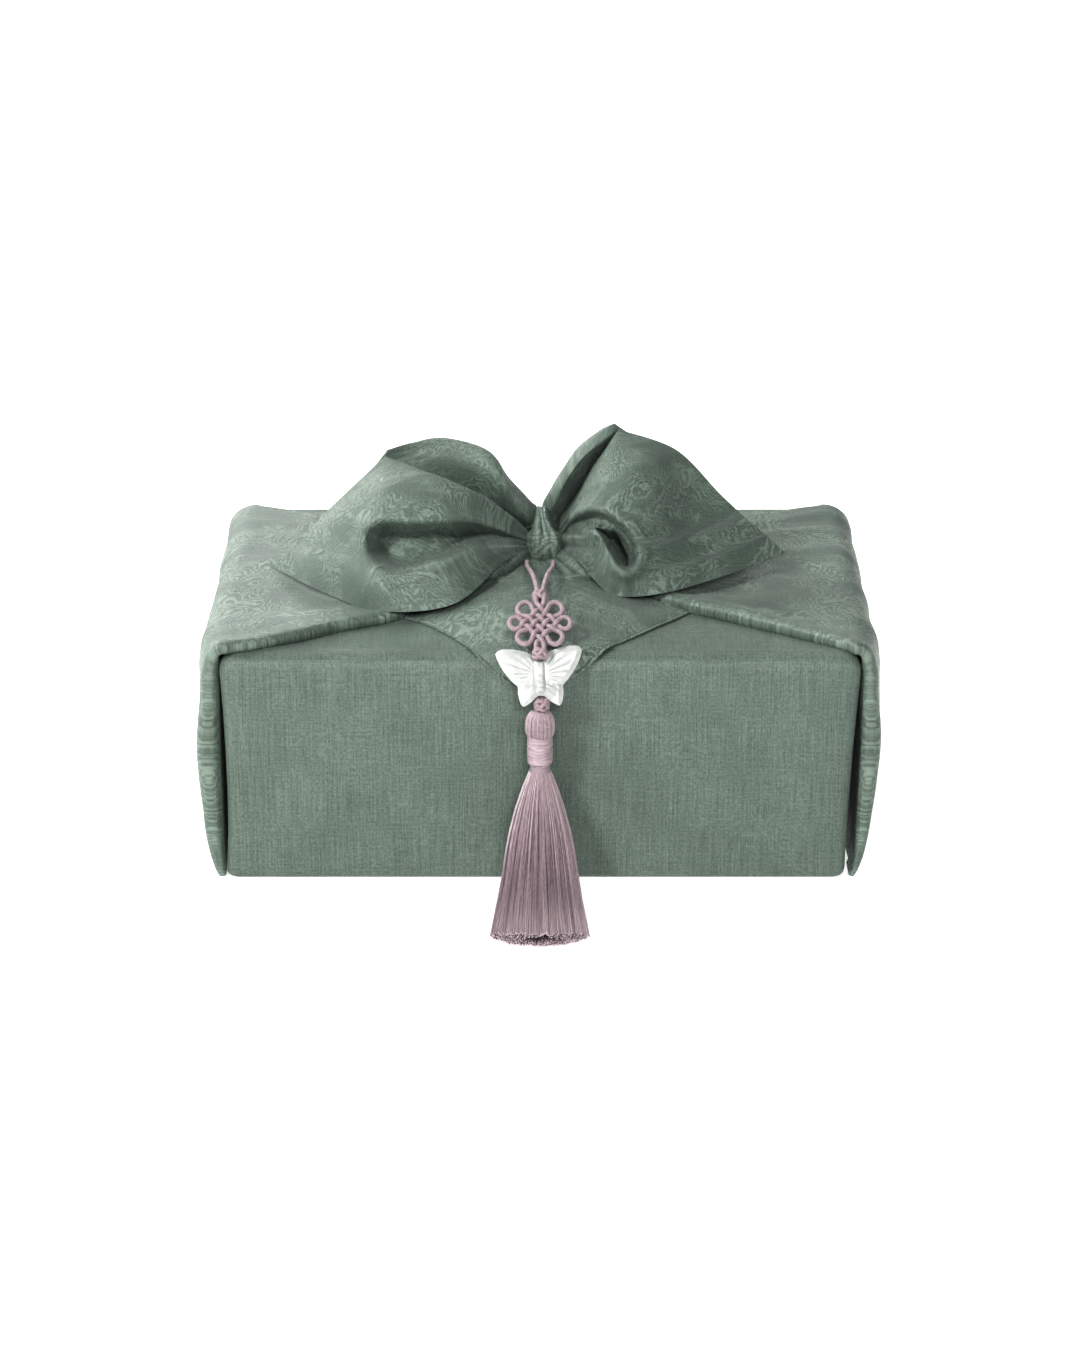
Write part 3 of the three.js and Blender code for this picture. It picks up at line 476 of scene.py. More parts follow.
hangingCord = {"radius": 1.0, "half": [(-5.8, -24, 116.1), (-5.4, -38, 118.4), (-3.2, -55, 120.4), (-1.6, -73, 121.2)],
               "turn": [(-0.9, -80.6, 121), (0, -82, 120.9), (0.9, -80.6, 121)]}
cordPoints = (hangingCord["half"] + hangingCord["turn"]
              + [(-x, y, z) for x, y, z in reversed(hangingCord["half"])])
cordRoute = cordLine(cordPoints, 0.28)
cordPiece = meshPiece("hanging_cord", *braidedTube(cordRoute, hangingCord["radius"]), lilacBraid)
smooth(cordPiece, 50)
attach(cordPiece, "root")
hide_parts("cord_loop")

# woven knot: four cords each way over and under, six loops at its sides
wovenKnot = {"centre": (0, -101.4, 114), "tilt": 32, "pitch": 3.3, "stretch": 1.2, "radius": 1.12, "weave": 0.72}


def latticePoint(a, b, lift):
    across = (a - b) * wovenKnot["pitch"] * math.sqrt(0.5)
    down = (a + b) * wovenKnot["pitch"] * math.sqrt(0.5) * wovenKnot["stretch"]
    tilt = math.radians(wovenKnot["tilt"])
    x, y, z = wovenKnot["centre"]
    return (x + across, y - down * math.cos(tilt) - lift * math.sin(tilt),
            z - down * math.sin(tilt) + lift * math.cos(tilt))


def crossing(a, b, alongA):
    over = (round(a + 1.5) + round(b + 1.5)) % 2 == (0 if alongA else 1)
    return latticePoint(a, b, wovenKnot["weave"] if over else -wovenKnot["weave"])


def rowAt(b, back=False):
    steps = (1.5, 0.5, -0.5, -1.5) if back else (-1.5, -0.5, 0.5, 1.5)
    return [crossing(a, b, True) for a in steps]


def columnAt(a, back=False):
    steps = (1.5, 0.5, -0.5, -1.5) if back else (-1.5, -0.5, 0.5, 1.5)
    return [crossing(a, b, False) for b in steps]


def loose(*places):
    return [latticePoint(a, b, 0) for a, b in places]


knotCords = [
    (loose((-3.0, -2.2), (-2.2, -1.6)) + rowAt(-1.5)
     + loose((2.05, -1.42), (2.6, -1.5), (2.95, -1.98), (2.75, -2.75), (1.98, -2.95), (1.5, -2.6), (1.42, -2.05))
     + columnAt(1.5) + loose((1.6, 2.2), (2.2, 2.9)), False),
    (loose((-2.2, -3.0), (-1.6, -2.2)) + columnAt(-1.5)
     + loose((-1.42, 2.05), (-1.5, 2.6), (-1.98, 2.95), (-2.75, 2.75), (-2.95, 1.98), (-2.6, 1.5), (-2.05, 1.42))
     + rowAt(1.5) + loose((2.2, 1.6), (2.9, 2.2)), False),
    (columnAt(-0.5) + loose((-0.74, 2.1), (-0.93, 2.7), (-0.7, 3.35), (0, 3.62), (0.7, 3.35), (0.93, 2.7), (0.74, 2.1))
     + columnAt(0.5, back=True)
     + loose((0.74, -2.1), (0.93, -2.7), (0.7, -3.35), (0, -3.62), (-0.7, -3.35), (-0.93, -2.7), (-0.74, -2.1)), True),
    (rowAt(-0.5) + loose((2.1, -0.74), (2.7, -0.93), (3.35, -0.7), (3.62, 0), (3.35, 0.7), (2.7, 0.93), (2.1, 0.74))
     + rowAt(0.5, back=True)
     + loose((-2.1, 0.74), (-2.7, 0.93), (-3.35, 0.7), (-3.62, 0), (-3.35, -0.7), (-2.7, -0.93), (-2.1, -0.74)), True),
]
knotParts = [braidedTube(cordLine(points, 0.3, closed), wovenKnot["radius"], closed) for points, closed in knotCords]
knotPiece = meshPiece("woven_knot", *joined(knotParts), lilacBraid)
smooth(knotPiece, 50)
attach(knotPiece, "root")
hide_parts("endless_knot")
print("woven knot", len(knotPiece.data.polygons), "faces")

# button knots: one strand wound three times round, weaving over and under
buttonKnots = [
    {"name": "button_top", "node": "button_knot_top", "centre": (0, -86.4, 120.3), "radius": 3.5, "height": 6.2,
     "axis": (0, math.cos(math.pi / 10), math.sin(math.pi / 10)), "bights": 4},
    {"name": "button_mid", "node": "button_knot_mid", "centre": (0, -114.3, 104.9), "radius": 3.4, "height": 5.2,
     "axis": (0, 0.45, 0.9), "bights": 4},
    {"name": "button_low", "node": "button_knot_low", "centre": (0.8, -119.6, 84.4), "radius": 3.5, "height": 5.9,
     "axis": (0, 0, 1), "bights": 4},
]


def buttonKnot(button):
    up = np.array(button["axis"], float)
    up /= np.linalg.norm(up)
    right = np.array((1.0, 0, 0))
    front = np.cross(up, right)
    cord = 1.0
    t = np.linspace(0, 2 * np.pi, 61)[:-1]
    lap = button["bights"] * t
    spread = 0.5 * button["height"] - cord
    reach = (button["radius"] - cord) * (1 - 0.2 * np.sin(lap) ** 2) + 0.28 * np.sin(2 * lap)
    line = (np.array(button["centre"]) + up * (spread * np.sin(lap))[:, None]
            + right * (reach * np.cos(3 * t))[:, None] + front * (reach * np.sin(3 * t))[:, None])
    strand = braidedTube(cordLine(line, 0.3, True), cord, True, sides=10)
    return strand


for button in buttonKnots:
    points, faces, uvs = buttonKnot(button)
    piece = meshPiece(button["name"], points, faces, uvs, lilacBraid)
    smooth(piece, 50)
    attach(piece, "root")
    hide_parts(button["node"])
print("button knots made")

# wrapping cloth
bundle = {"halfX": 135, "halfY": 107, "height": 101.5, "cornerRadius": 4, "footRadius": 3.5, "topRadius": 7,
          "crown": 1.4, "flapStep": 3.4, "sheet": 0.7}

clothParts = []
clothFigure = []    # how much of the woven pattern shows on each patch


# a patch of cloth from a grid of points in millimetres
def clothPatch(points, uv, ringAcross=False, boxMapped=False, figure=1.0):
    rows, cols = points.shape[:2]
    faces = gridFaces(rows, cols, ringAcross)
    flat = points.reshape(-1, 3)
    if boxMapped:    # threads run with the box: upright on its walls, straight on its top
        corner = flat[faces]
        across = np.abs(np.cross(corner[:, 2] - corner[:, 0], corner[:, 3] - corner[:, 1]))
        main = np.argmax(across * np.array([1, 1, 1.001]), axis=1)
        u = np.where((main == 0)[:, None], corner[..., 1], corner[..., 0])
        v = np.where((main == 2)[:, None], corner[..., 1], corner[..., 2])
        uvs = np.stack([u, v], axis=-1).reshape(-1, 2) / 100
    else:
        if ringAcross:
            uv = np.concatenate([uv, uv[:, :1] + (uv[:, -1:] - uv[:, -2:-1]) + uv[:, -1:] - uv[:, :1]], axis=1)
            i, j = faces // cols, faces % cols
            j = np.where((j == 0) & (j.max(axis=1) == cols - 1)[:, None], cols, j)
            uvs = uv[i, j].reshape(-1, 2) / 100
        else:
            uvs = uv.reshape(-1, 2)[faces].reshape(-1, 2) / 100
    clothParts.append((flat, faces.tolist(), uvs))
    clothFigure.extend([figure] * len(flat))


# distance run along both ways of a grid, for the threads
def runLengths(points):
    u = np.zeros(points.shape[:2])
    v = np.zeros(points.shape[:2])
    u[1:] = np.cumsum(np.linalg.norm(np.diff(points, axis=0), axis=2), axis=0)
    v[:, 1:] = np.cumsum(np.linalg.norm(np.diff(points, axis=1), axis=2), axis=1)
    return np.stack([v, u], axis=-1)


def clothTop(x, y):
    mound = 12 * np.exp(-(x / 40) ** 2) * ease((y + 106) / 34) * ease((106 - y) / 60)
    return bundle["height"] + mound + 0.5 * np.sin(x * 0.043 + 1.1) * np.sin(y * 0.05 + 0.4)


# the box: underside, walls, rounded top edge and top; the front panel is drawn in at its foot
footDrawn = [{"z": 0, "left": 0.6, "right": 4.6}, {"z": 20, "left": 1.8, "right": 4.2}, {"z": 37, "left": 2.0, "right": 3.4},
             {"z": 60, "left": 1.6, "right": 2.2}, {"z": 80, "left": 0.8, "right": 0.8}, {"z": 92, "left": 0, "right": 0}]


def boxLoop(inset, scale, zAt):
    hx, hy = bundle["halfX"] - inset, bundle["halfY"] - inset
    r = max(0.8, bundle["cornerRadius"] - inset * 0.3)
    loop = []
    corners = [(hx - r, -hy + r, -90), (hx - r, hy - r, 0), (-hx + r, hy - r, 90), (-hx + r, -hy + r, 180)]
    for k, (x, y, start) in enumerate(corners):
        turn = np.radians(start + np.linspace(0, 90, 6))
        loop += list(zip(x + r * np.cos(turn), y + r * np.sin(turn)))
        nx, ny, after = corners[(k + 1) % 4]
        after = math.radians(after)
        stop = (nx + r * math.cos(after), ny + r * math.sin(after))
        steps = 18 if k % 2 == 0 else 42
        for f in np.arange(1, steps) / steps:
            loop.append((mix(x + r * math.cos(turn[-1]), stop[0], f), mix(y + r * math.sin(turn[-1]), stop[1], f)))
    xy = np.array(loop)
    x, y = xy[:, 0] * scale, xy[:, 1] * scale
    z = zAt(x, y) + 0 * x
    rise = np.sin(np.pi * np.clip(z / bundle["height"], 0, 1))
    x = x - np.where(x > 0, column(footDrawn, "z", "right", z), -column(footDrawn, "z", "left", z)) * ease(np.abs(x) / 110)
    crown = bundle["crown"] * rise * np.abs(np.cos(np.pi * x / (2 * bundle["halfX"]))) ** 0.5
    push = np.where((np.abs(xy[:, 1]) > hy - 0.01) & (scale == 1), np.sign(y) * crown, 0)
    pull = 0.25 * uneven(x, z, 11, 60) * rise * (scale == 1) * (np.abs(xy[:, 1]) > hy - 0.01)
    return np.stack([x, y + push + np.sign(y) * pull, z - 0.3 * (z > 50)], axis=1)


boxRows = [boxLoop(3.5, s, lambda x, y: 0.35) for s in (0.04, 0.3, 0.6, 0.85, 0.97)]
boxRows += [boxLoop(inset, 1, lambda x, y, z=z: z) for z, inset in ((0.35, 3.4), (0.5, 2.2), (1.2, 1.0), (2.2, 0.35), (4, 0))]
boxRows += [boxLoop(0, 1, lambda x, y, z=z: z) for z in np.linspace(9, 92, 17)]
for degrees in range(0, 91, 10):
    angle = math.radians(degrees)
    inset, drop = bundle["topRadius"] * (1 - math.cos(angle)), bundle["topRadius"] * (1 - math.sin(angle))
    boxRows.append(boxLoop(inset, 1, lambda x, y, d=drop: bundle["height"] - d))
boxRows += [boxLoop(bundle["topRadius"], s, clothTop) for s in (0.985, 0.96, 0.93, 0.9, 0.86, 0.82, 0.77, 0.71, 0.64, 0.56, 0.46, 0.34, 0.2, 0.04)]
boxGrid = np.array(boxRows)
clothPatch(boxGrid, None, ringAcross=True, boxMapped=True, figure=0.22)

# side cloth: up the end of the box with a rounded pleat at each corner, then over the top to the knot
pleatRows = [
    {"z": 0.6, "left": 2.6, "right": -0.6}, {"z": 3, "left": 4.0, "right": 0.9}, {"z": 9, "left": 5.9, "right": 3.2},
    {"z": 20, "left": 8.2, "right": 5.6}, {"z": 37, "left": 10.1, "right": 8.5}, {"z": 55, "left": 11.3, "right": 10.2},
    {"z": 73, "left": 11.6, "right": 10.9}, {"z": 88, "left": 11.3, "right": 10.9}, {"z": 93.3, "left": 10.5, "right": 10.3},
]
flapLeft = [
    {"x": 8, "front": -16, "back": 14, "roll": 2.0}, {"x": 20, "front": -28, "back": 24, "roll": 2.1},
    {"x": 40, "front": -49, "back": 40, "roll": 2.3}, {"x": 64, "front": -68, "back": 58, "roll": 2.6},
    {"x": 85, "front": -77, "back": 72, "roll": 2.8}, {"x": 104, "front": -92, "back": 87, "roll": 2.7},
    {"x": 120, "front": -101, "back": 97, "roll": 2.4}, {"x": 135, "front": -106, "back": 104, "roll": 2.2},
]
flapRight = [
    {"x": 8, "front": -15, "back": 14, "roll": 1.9}, {"x": 20, "front": -26, "back": 24, "roll": 2.0},
    {"x": 40, "front": -38, "back": 40, "roll": 2.3}, {"x": 62, "front": -54, "back": 57, "roll": 3.1},
    {"x": 80, "front": -65, "back": 70, "roll": 3.3}, {"x": 102, "front": -80, "back": 86, "roll": 3.1},
    {"x": 121, "front": -95, "back": 97, "roll": 2.7}, {"x": 135, "front": -106, "back": 104, "roll": 2.2},
]
flapSoft = {-1: 15, 1: 9}    # how far in the front edge's roll is felt
# soft drawn folds on the side cloth's top: from, to, height and width
flapCreases = {
    -1: [((30, 34), (132, 74), 1.6, 4.5), ((34, 22), (134, 52), 1.2, 4.0), ((40, -8), (120, 10), 0.6, 6.0),
         ((50, -40), (128, -82), 0.9, 6.0), ((60, 52), (134, 94), 1.4, 3.5), ((96, -60), (138, -70), 0.7, 5.0)],
    1: [((30, 26), (134, 62), 1.5, 4.5), ((40, 10), (134, 30), 1.0, 4.5), ((60, -12), (136, -18), 0.9, 6.0),
        ((56, -34), (136, -68), 1.0, 6.0), ((66, 50), (134, 88), 1.2, 3.5), ((88, -46), (138, -44), 0.6, 4.0)],
}


def creases(side, x, y):
    total = 0
    for (ax, ay), (bx, by), height, width in flapCreases[side]:
        run = math.hypot(bx - ax, by - ay)
        t = ((x - ax) * (bx - ax) + (y - ay) * (by - ay)) / run ** 2
        off = ((y - ay) * (bx - ax) - (x - ax) * (by - ay)) / run
        total = total + height * np.exp(-(off / width) ** 2) * ease(t / 0.35 + 0.2) * ease((1.25 - t) / 0.3)
    return total


def sideSheet(side, flap, which):
    rows = []
    wallZ = [0.6, 1.6, 3.2, 5.5, 8.5] + list(np.linspace(12.5, 93.3, 19))
    noseTurn = np.radians(np.linspace(-90, -270, 10))
    mainF = np.linspace(0, 1, 48)[1:-1]
    stations = [("wall", z) for z in wallZ] + [("bend", a) for a in np.linspace(9, 90, 10)] + [("top", x) for x in np.linspace(130.6, 9, 44)]
    for kind, at in stations:
        if kind == "wall":
            out, front, back = column(pleatRows, "z", which, at), -104.8, 104.8
            lean, z = 0.0, at
        elif kind == "bend":
            out, lean, z = column(pleatRows, "z", which, 93.3), math.radians(at), 93.3
            front, back = mix(-104.8, -106, at / 90), mix(104.8, 104, at / 90)
        else:
            out, lean = 0, math.pi / 2
            front, back = -column(flap, "x", "front", at) * -1, column(flap, "x", "back", at)
        over = 0.0 if kind == "wall" else (1.0 if kind == "top" else float(ease(at / 80)))
        topX = at if kind == "top" else 133
        roll = column(flap, "x", "roll", topX)
        wallNose = max(0.6, 0.415 * out)
        nose = mix(wallNose, roll, over) if kind != "top" else roll
        tuck = 14 + 66 * at / 93 if kind == "wall" else min(78 - 34 * over, 0.42 * (back - front))    # cloth folded in
        centre = mix(out - wallNose, roll - 0.3, over) if kind != "top" else roll - 0.3

        def height(y):
            near = np.abs(y)
            belly = 0.9 + 0.1 * ease((near - 20) / 62)
            wall = out * (0.3 + 0.7 * belly) + 0.35 * np.sin(y * 0.11 + z * 0.045) + 0.35 * uneven(y, z, 21 + side, 46) * ease(z / 30) if kind != "top" else 0
            lift = 2 * roll - bundle["flapStep"]
            rolls = lift * (np.exp(-((y - front - roll) / flapSoft[side]) ** 2) + 0.3 * np.exp(-((back - roll - y) / 12) ** 2))
            creaseFadeAndEndHighlight = ease((y - front - roll) / 10) * ease((back - roll - y) / 10)
            top = bundle["flapStep"] + rolls + (creases(side, topX, y) + 0.45 * uneven(topX, y, 31 + side, 38)) * creaseFadeAndEndHighlight * (1 if kind == "top" else over)
            top = top - 1.4 * ease((y - 30) / 60) * ease((topX - 50) / 60)    # drawn flat at the back corner
            return mix(wall, top, over) if kind != "top" else top

        def placed(y, h):
            y = np.asarray(y, float)
            h = np.asarray(h, float)
            slim = 1 - 0.24 * ease((-y - 66) / 36)    # lies closer at the front corner
            if kind == "wall":
                h = h * mix(1, slim, ease((z - 60) / 28))
                return np.stack([side * (bundle["halfX"] + h - 0.3), y, z + 0 * y], axis=1)
            if kind == "top":
                return np.stack([side * at + 0 * y, y, clothTop(side * at, y) + h - 0.3], axis=1)
            base = mix(2.0, 11.6 - bundle["flapStep"], over)
            reach = base + h - 0.3
            floor = clothTop(side * 133, y) + bundle["flapStep"] - 11.6
            low = mix(93.3, floor, ease(at / 60))
            return np.stack([side * (133 + reach * slim * math.cos(lean)), y, low + reach * math.sin(lean)], axis=1)

        mainY = mix(front + nose, back - nose, mainF)
        mainH = height(mainY)
        edgeF, edgeB = height(np.array([front + nose]))[0], height(np.array([back - nose]))[0]

        def noseLoop(edge, inward, edgeH):
            y = edge + inward * nose * (1 + np.cos(noseTurn))
            bottom = centre - nose
            h = bottom + (edgeH - bottom) * (0.5 + 0.5 * np.sin(noseTurn))
            tail = tuck * np.array([1.0, 0.72, 0.46, 0.24, 0.08])
            return (np.concatenate([edge + inward * (nose + tail), y]), np.concatenate([bottom + 0 * tail, h]))

        fy, fh = noseLoop(front, 1, edgeF)
        by, bh = noseLoop(back, -1, edgeB)
        rows.append(placed(np.concatenate([fy, mainY, by[::-1]]), np.concatenate([fh, mainH, bh[::-1]])))
    grid = np.array(rows)
    uv = np.stack([grid[..., 1], runLengths(grid)[:, grid.shape[1] // 2, 1][:, None] + 0 * grid[..., 1]], axis=-1)
    clothPatch(grid, uv)


sideSheet(-1, flapLeft, "left")
sideSheet(1, flapRight, "right")

# centre flap: the corner of the cloth laid over the top, its point down the front
centreFlap = [
    {"along": -199, "left": -120, "right": 120}, {"along": -78, "left": -84, "right": 80}, {"along": -62, "left": -78, "right": 76}, {"along": -48, "left": -70, "right": 67},
    {"along": -32, "left": -55, "right": 57}, {"along": -16, "left": -43, "right": 46}, {"along": -6, "left": -35, "right": 37},
    {"along": 0, "left": -30.5, "right": 30}, {"along": 5, "left": -27, "right": 25.5}, {"along": 10, "left": -22, "right": 20},
    {"along": 16, "left": -14.6, "right": 12}, {"along": 22, "left": -7, "right": 5}, {"along": 28, "left": -0.7, "right": 0.5},
]


# a point of the front skin: under 0 on the top, then round the edge and down the front
def frontSkin(x, along, lift):
    bend = bundle["topRadius"]
    arc = math.pi / 2 * bend
    edgeY = -(bundle["halfY"] - bend)
    crown = bundle["crown"] * 0.5
    if along <= 0:
        y = edgeY - along
        return np.stack([x, y + 0 * x, clothTop(x, y) + lift], axis=1)
    if along < arc:
        angle = along / bend
        reach = bend + lift
        return np.stack([x, edgeY - (reach + crown * (along / arc)) * math.sin(angle),
                         clothTop(x, edgeY) - bend + reach * math.cos(angle)], axis=1)
    return np.stack([x, edgeY - bend - lift - crown, clothTop(x, edgeY) - bend - (along - arc)], axis=1)


def centreFlapPatch():
    edges = through([[row["along"], row["left"], row["right"]] for row in centreFlap], np.linspace(0, 1, 400))
    hem = np.array([0, 0.5, 1.0, 1.5, 1.9, 2.3, 3.0, 4.5, 7.0])
    rows, uv = [], []
    for along in np.concatenate([np.linspace(-199, -86, 12), np.linspace(-78, -14, 17), np.linspace(-11, 28, 34)]):
        left, right = (np.interp(along, edges[:, 0], edges[:, k]) for k in (1, 2))
        wide = right - left
        squeeze = min(1.0, wide / 16)
        inner = np.linspace(left + 7 * squeeze, right - 7 * squeeze, 30)[1:-1]
        x = np.concatenate([left + hem * squeeze, inner, (right - hem * squeeze)[::-1]])
        edge = np.minimum(x - left, right - x) / squeeze
        tip = (28 - along) * 0.9
        edge = np.minimum(edge, max(0.0, tip))
        lift = 0.45 + 1.25 * ease(edge / 9)
        lift = lift + 0.3 * (1 - ease((edge - 1.2) / 0.5)) - 0.2 * np.exp(-((edge - 1.75) / 0.3) ** 2)
        lift = lift + 0.25 * uneven(x, along + 0 * x, 41, 40) * ease(edge / 12)
        lift = mix(-0.5, lift, float(ease((along + 200) / 30)))    # its far end comes from under the back edge
        rows.append(frontSkin(x, along, lift))
        uv.append(np.stack([x, -along + 0 * x], axis=1))
    clothPatch(np.array(rows), np.array(uv))


centreFlapPatch()

# bow ears: one gathered sheet each, a row for each fold line from the knot outwards
# rows run from the back hem over the top to the front hem, each from the knot out to the ear's end
leftEar = {
    "back hem": ((-2.2, 7, 112.1), (-23.8, 17, 109.4), (-52.2, 20, 108.4), (-80, 16, 108.3), (-92.8, 12, 108.6), (-104.2, 8, 108.5)),
    "back wall": ((-1.8, 8, 123.9), (-15.2, 14, 128.2), (-35.8, 20, 133.8), (-64.1, 20, 131.9), (-79.2, 15, 128.3), (-91.9, 9, 124.1)),
    "back top": ((-1.8, 2, 133.7), (-13.3, 4, 145.1), (-24.3, 6, 157.9), (-44.2, 7, 162.7), (-58.4, 5, 160.1), (-68.9, 2, 157.3)),
    "strip": ((-1.8, -2, 127.5), (-11.5, -9, 139.9), (-20.2, -9, 152.7), (-39.3, 0, 157.9), (-57.4, 3, 157.9), (-68.9, 1, 156.9)),
    "inner": ((-2.2, 0, 122.9), (-15.6, 0, 126.6), (-29.8, 0, 135.6), (-48.8, 0, 145), (-57.9, -2, 152.9), (-69, -1, 156.8)),
    "front top": ((-1.8, -6, 120), (-13.6, -14, 134.5), (-28.4, -20, 146.9), (-45.9, -20, 154.2), (-58.3, -13, 156.2), (-69.4, -3, 156.7)),
    "brow": ((-1.8, -8, 119.7), (-19.2, -25, 134.7), (-38.7, -33, 146.3), (-62.6, -31, 150.2), (-74.8, -20, 148.7), (-83.3, -6, 144)),
    "upper rim": ((-1.8, -8, 118.8), (-21.4, -29, 131.4), (-39.4, -39, 139.1), (-66.6, -42, 140), (-83.3, -28, 138.4), (-96.9, -4, 130)),
    "hollow": ((-1.8, -8, 117.8), (-21.4, -33, 126.7), (-40.6, -48, 130.1), (-66, -50, 129.9), (-85.3, -35, 127.4), (-106.1, -3, 119)),
    "lower rim": ((-1.8, -9, 117.2), (-19.2, -36, 124), (-41.2, -62, 121.1), (-69.2, -61, 119.9), (-89.7, -38, 119.2), (-112.5, -2, 112.6)),
    "bottom": ((-1.8, -9, 115.8), (-15.3, -33, 119.4), (-36.9, -68, 111.3), (-69.2, -65, 107.1), (-94.3, -38, 106.8), (-119.2, -3, 106.9)),
}
rightEar = {
    "back hem": ((4, 8, 111.8), (23.8, 18, 109.5), (48.2, 20, 108.4), (70.1, 16, 108.3), (81.2, 13, 108.3), (89.9, 8, 108.5)),
    "back wall": ((3.6, 8, 123.9), (13.8, 15, 133.9), (25.9, 18, 144.2), (41.9, 16, 149.9), (49.8, 13, 150.3), (56.8, 9, 150.6)),
    "fold top": ((1.3, 0, 134.8), (9.3, 1, 148.8), (16.3, 2, 159.1), (26.5, 2, 167.4), (30.8, 1.5, 169.6), (34.3, 1, 170.6)),
    "strip": ((3.5, -3, 130.6), (11, -9, 147.2), (18.4, -9, 158.7), (27.6, -7, 166.3), (31.6, -5, 169.4), (35, -0.5, 170.4)),
    "slit": ((4.9, 2, 123.5), (15.1, 7, 136.4), (22.6, 8, 149.5), (30.1, 5, 160.1), (33.1, 1, 165.4), (35.6, -1, 169.8)),
    "wall edge": ((5.8, -6, 122.3), (14.5, -16, 138.3), (23.2, -18, 154), (30.6, -13, 163.9), (33.7, -9, 167.3), (36.9, -2, 169.2)),
    "wall": ((6.2, -7, 121.7), (20.5, -25, 146.1), (34.4, -27, 155.4), (49.8, -18, 158.1), (55.3, -9, 159.6), (60.3, -2, 160.3)),
    "rim": ((6.2, -8, 121.1), (17.4, -31, 139.3), (29, -39, 143.6), (47.2, -36, 138.2), (65.3, -14, 137.6), (80, -1, 139.6)),
    "hollow": ((6.2, -8, 119.7), (21.3, -34, 128.9), (33.3, -44, 130.2), (48.6, -43, 124.9), (72, -22, 124.1), (95.4, -1, 124.9)),
    "tongue": ((6.6, -9, 118.6), (20.5, -35, 121.4), (32.5, -49, 117.3), (49.9, -47, 116.7), (76.8, -28, 116), (102.7, 0, 118.5)),
    "bottom": ((6.6, -9, 117.2), (17.9, -33, 118), (30.8, -50, 109.9), (51.7, -50, 109.9), (79.5, -31, 111.5), (108.6, -2, 113.2)),
}
# hollows pressed in along the slant of the ears: outline across and up, depth and how wide the wall is
earHollows = {
    "left": [{"outline": [(-76.2, 109.5), (-75.1, 114.7), (-72.5, 117.3), (-68.2, 119.2), (-62.1, 119), (-55.6, 118.2), (-47.3, 118.6), (-39.5, 118.8), (-31.7, 118.6), (-24.8, 117.7), (-18.7, 116), (-13, 113.4), (-5.2, 109.9), (-13.5, 110.3), (-19.1, 110.1), (-24.8, 109.5), (-31.3, 106), (-39.5, 101.2), (-48.6, 96.9), (-56, 94.7), (-62.5, 94.3), (-66.9, 96), (-70.8, 99), (-74.3, 103.8)],
              "depth": 19, "wall": 7.5}],
    "right": [{"outline": [(6.9, 112.1), (8.3, 116), (11.3, 119.5), (16.1, 122.1), (22.8, 123.1), (29.1, 122.1), (34.3, 119.2), (38.2, 116), (41, 112.1), (43, 107.7), (43, 102.5), (41.3, 98.6), (38.2, 96.9), (36.9, 101.6), (34.3, 108.2), (30.8, 112.9), (25.6, 115.1), (22.2, 114.2), (19.1, 111.2), (15.6, 112.3), (10.9, 112.5)],
               "depth": 9, "wall": 2.8},
              {"outline": [(22.8, 116), (26.7, 116.4), (32.9, 115.2), (36.9, 112.1), (39.1, 107.7), (40.4, 103.4), (39.5, 98.6), (36.9, 96.9), (33.9, 99), (31.3, 103), (28.7, 107.3), (25.9, 112.1), (23.9, 114.2)],
               "depth": 24, "wall": 3.6}],
}
earSlant = math.radians(19.5)


# distance from points to a closed outline, positive inside
def insideBy(x, z, outline):
    outline = np.asarray(outline, float)
    far = np.full(x.shape, 1e9)
    within = np.zeros(x.shape, bool)
    for (ax, az), (bx, bz) in zip(outline, np.roll(outline, -1, axis=0)):
        t = np.clip(((x - ax) * (bx - ax) + (z - az) * (bz - az)) / max(1e-9, (bx - ax) ** 2 + (bz - az) ** 2), 0, 1)
        far = np.minimum(far, np.hypot(x - ax - t * (bx - ax), z - az - t * (bz - az)))
        crosses = ((az > z) != (bz > z)) & (x < (bx - ax) * (z - az) / (bz - az + 1e-12) + ax)
        within ^= crosses
    return np.where(within, far, -far)


def earPatch(folds, hollows, seed, frontFrom, backSteps=34, frontSteps=86, alongSteps=80):
    table = np.array([folds[name] for name in folds], float)
    split = frontFrom / (len(table) - 1)
    u = np.linspace(0, 1, alongSteps + 1) ** 1.12
    v = np.concatenate([np.linspace(0, split, backSteps, endpoint=False), np.linspace(split, 1, frontSteps + 1)])
    lines = through(table.transpose(1, 0, 2), u)                 # along, fold, xyz
    grid = through(lines.transpose(1, 0, 2), v).transpose(1, 0, 2)   # along, across, xyz
    along, across = np.meshgrid(u, v, indexing="ij")
    front = ease((across - split + 0.03) / 0.05)
    inward = np.array([0, math.cos(earSlant), -math.sin(earSlant)])
    for hollow in hollows:
        lifted = grid[..., 2] * math.cos(earSlant) + grid[..., 1] * math.sin(earSlant)
        depth = insideBy(grid[..., 0], lifted, hollow["outline"])
        press = hollow["depth"] * ease(depth / hollow["wall"]) ** 0.8 - 1.1 * np.exp(-((depth + 2.2) / 2.4) ** 2)
        grid = grid + inward * (press * front * ease(along / 0.1))[..., None]
    du = np.gradient(grid, axis=0)
    dv = np.gradient(grid, axis=1)
    normal = np.cross(du, dv)
    normal /= np.maximum(np.linalg.norm(normal, axis=2), 1e-6)[..., None]
    span = runLengths(grid)
    gathers = np.exp(-along / 0.2) * ease(along / 0.03) * (0.6 * np.sin(across * 44 + 2.5 * np.sin(across * 9)) + 0.14 * np.sin(across * 97 + 1))
    swell = 0.35 * uneven(span[..., 0], span[..., 1], seed, 34) * ease(along / 0.25) * ease((1 - along) / 0.1)
    grid = grid + normal * (gathers + swell)[..., None]
    clothPatch(grid, runLengths(grid))


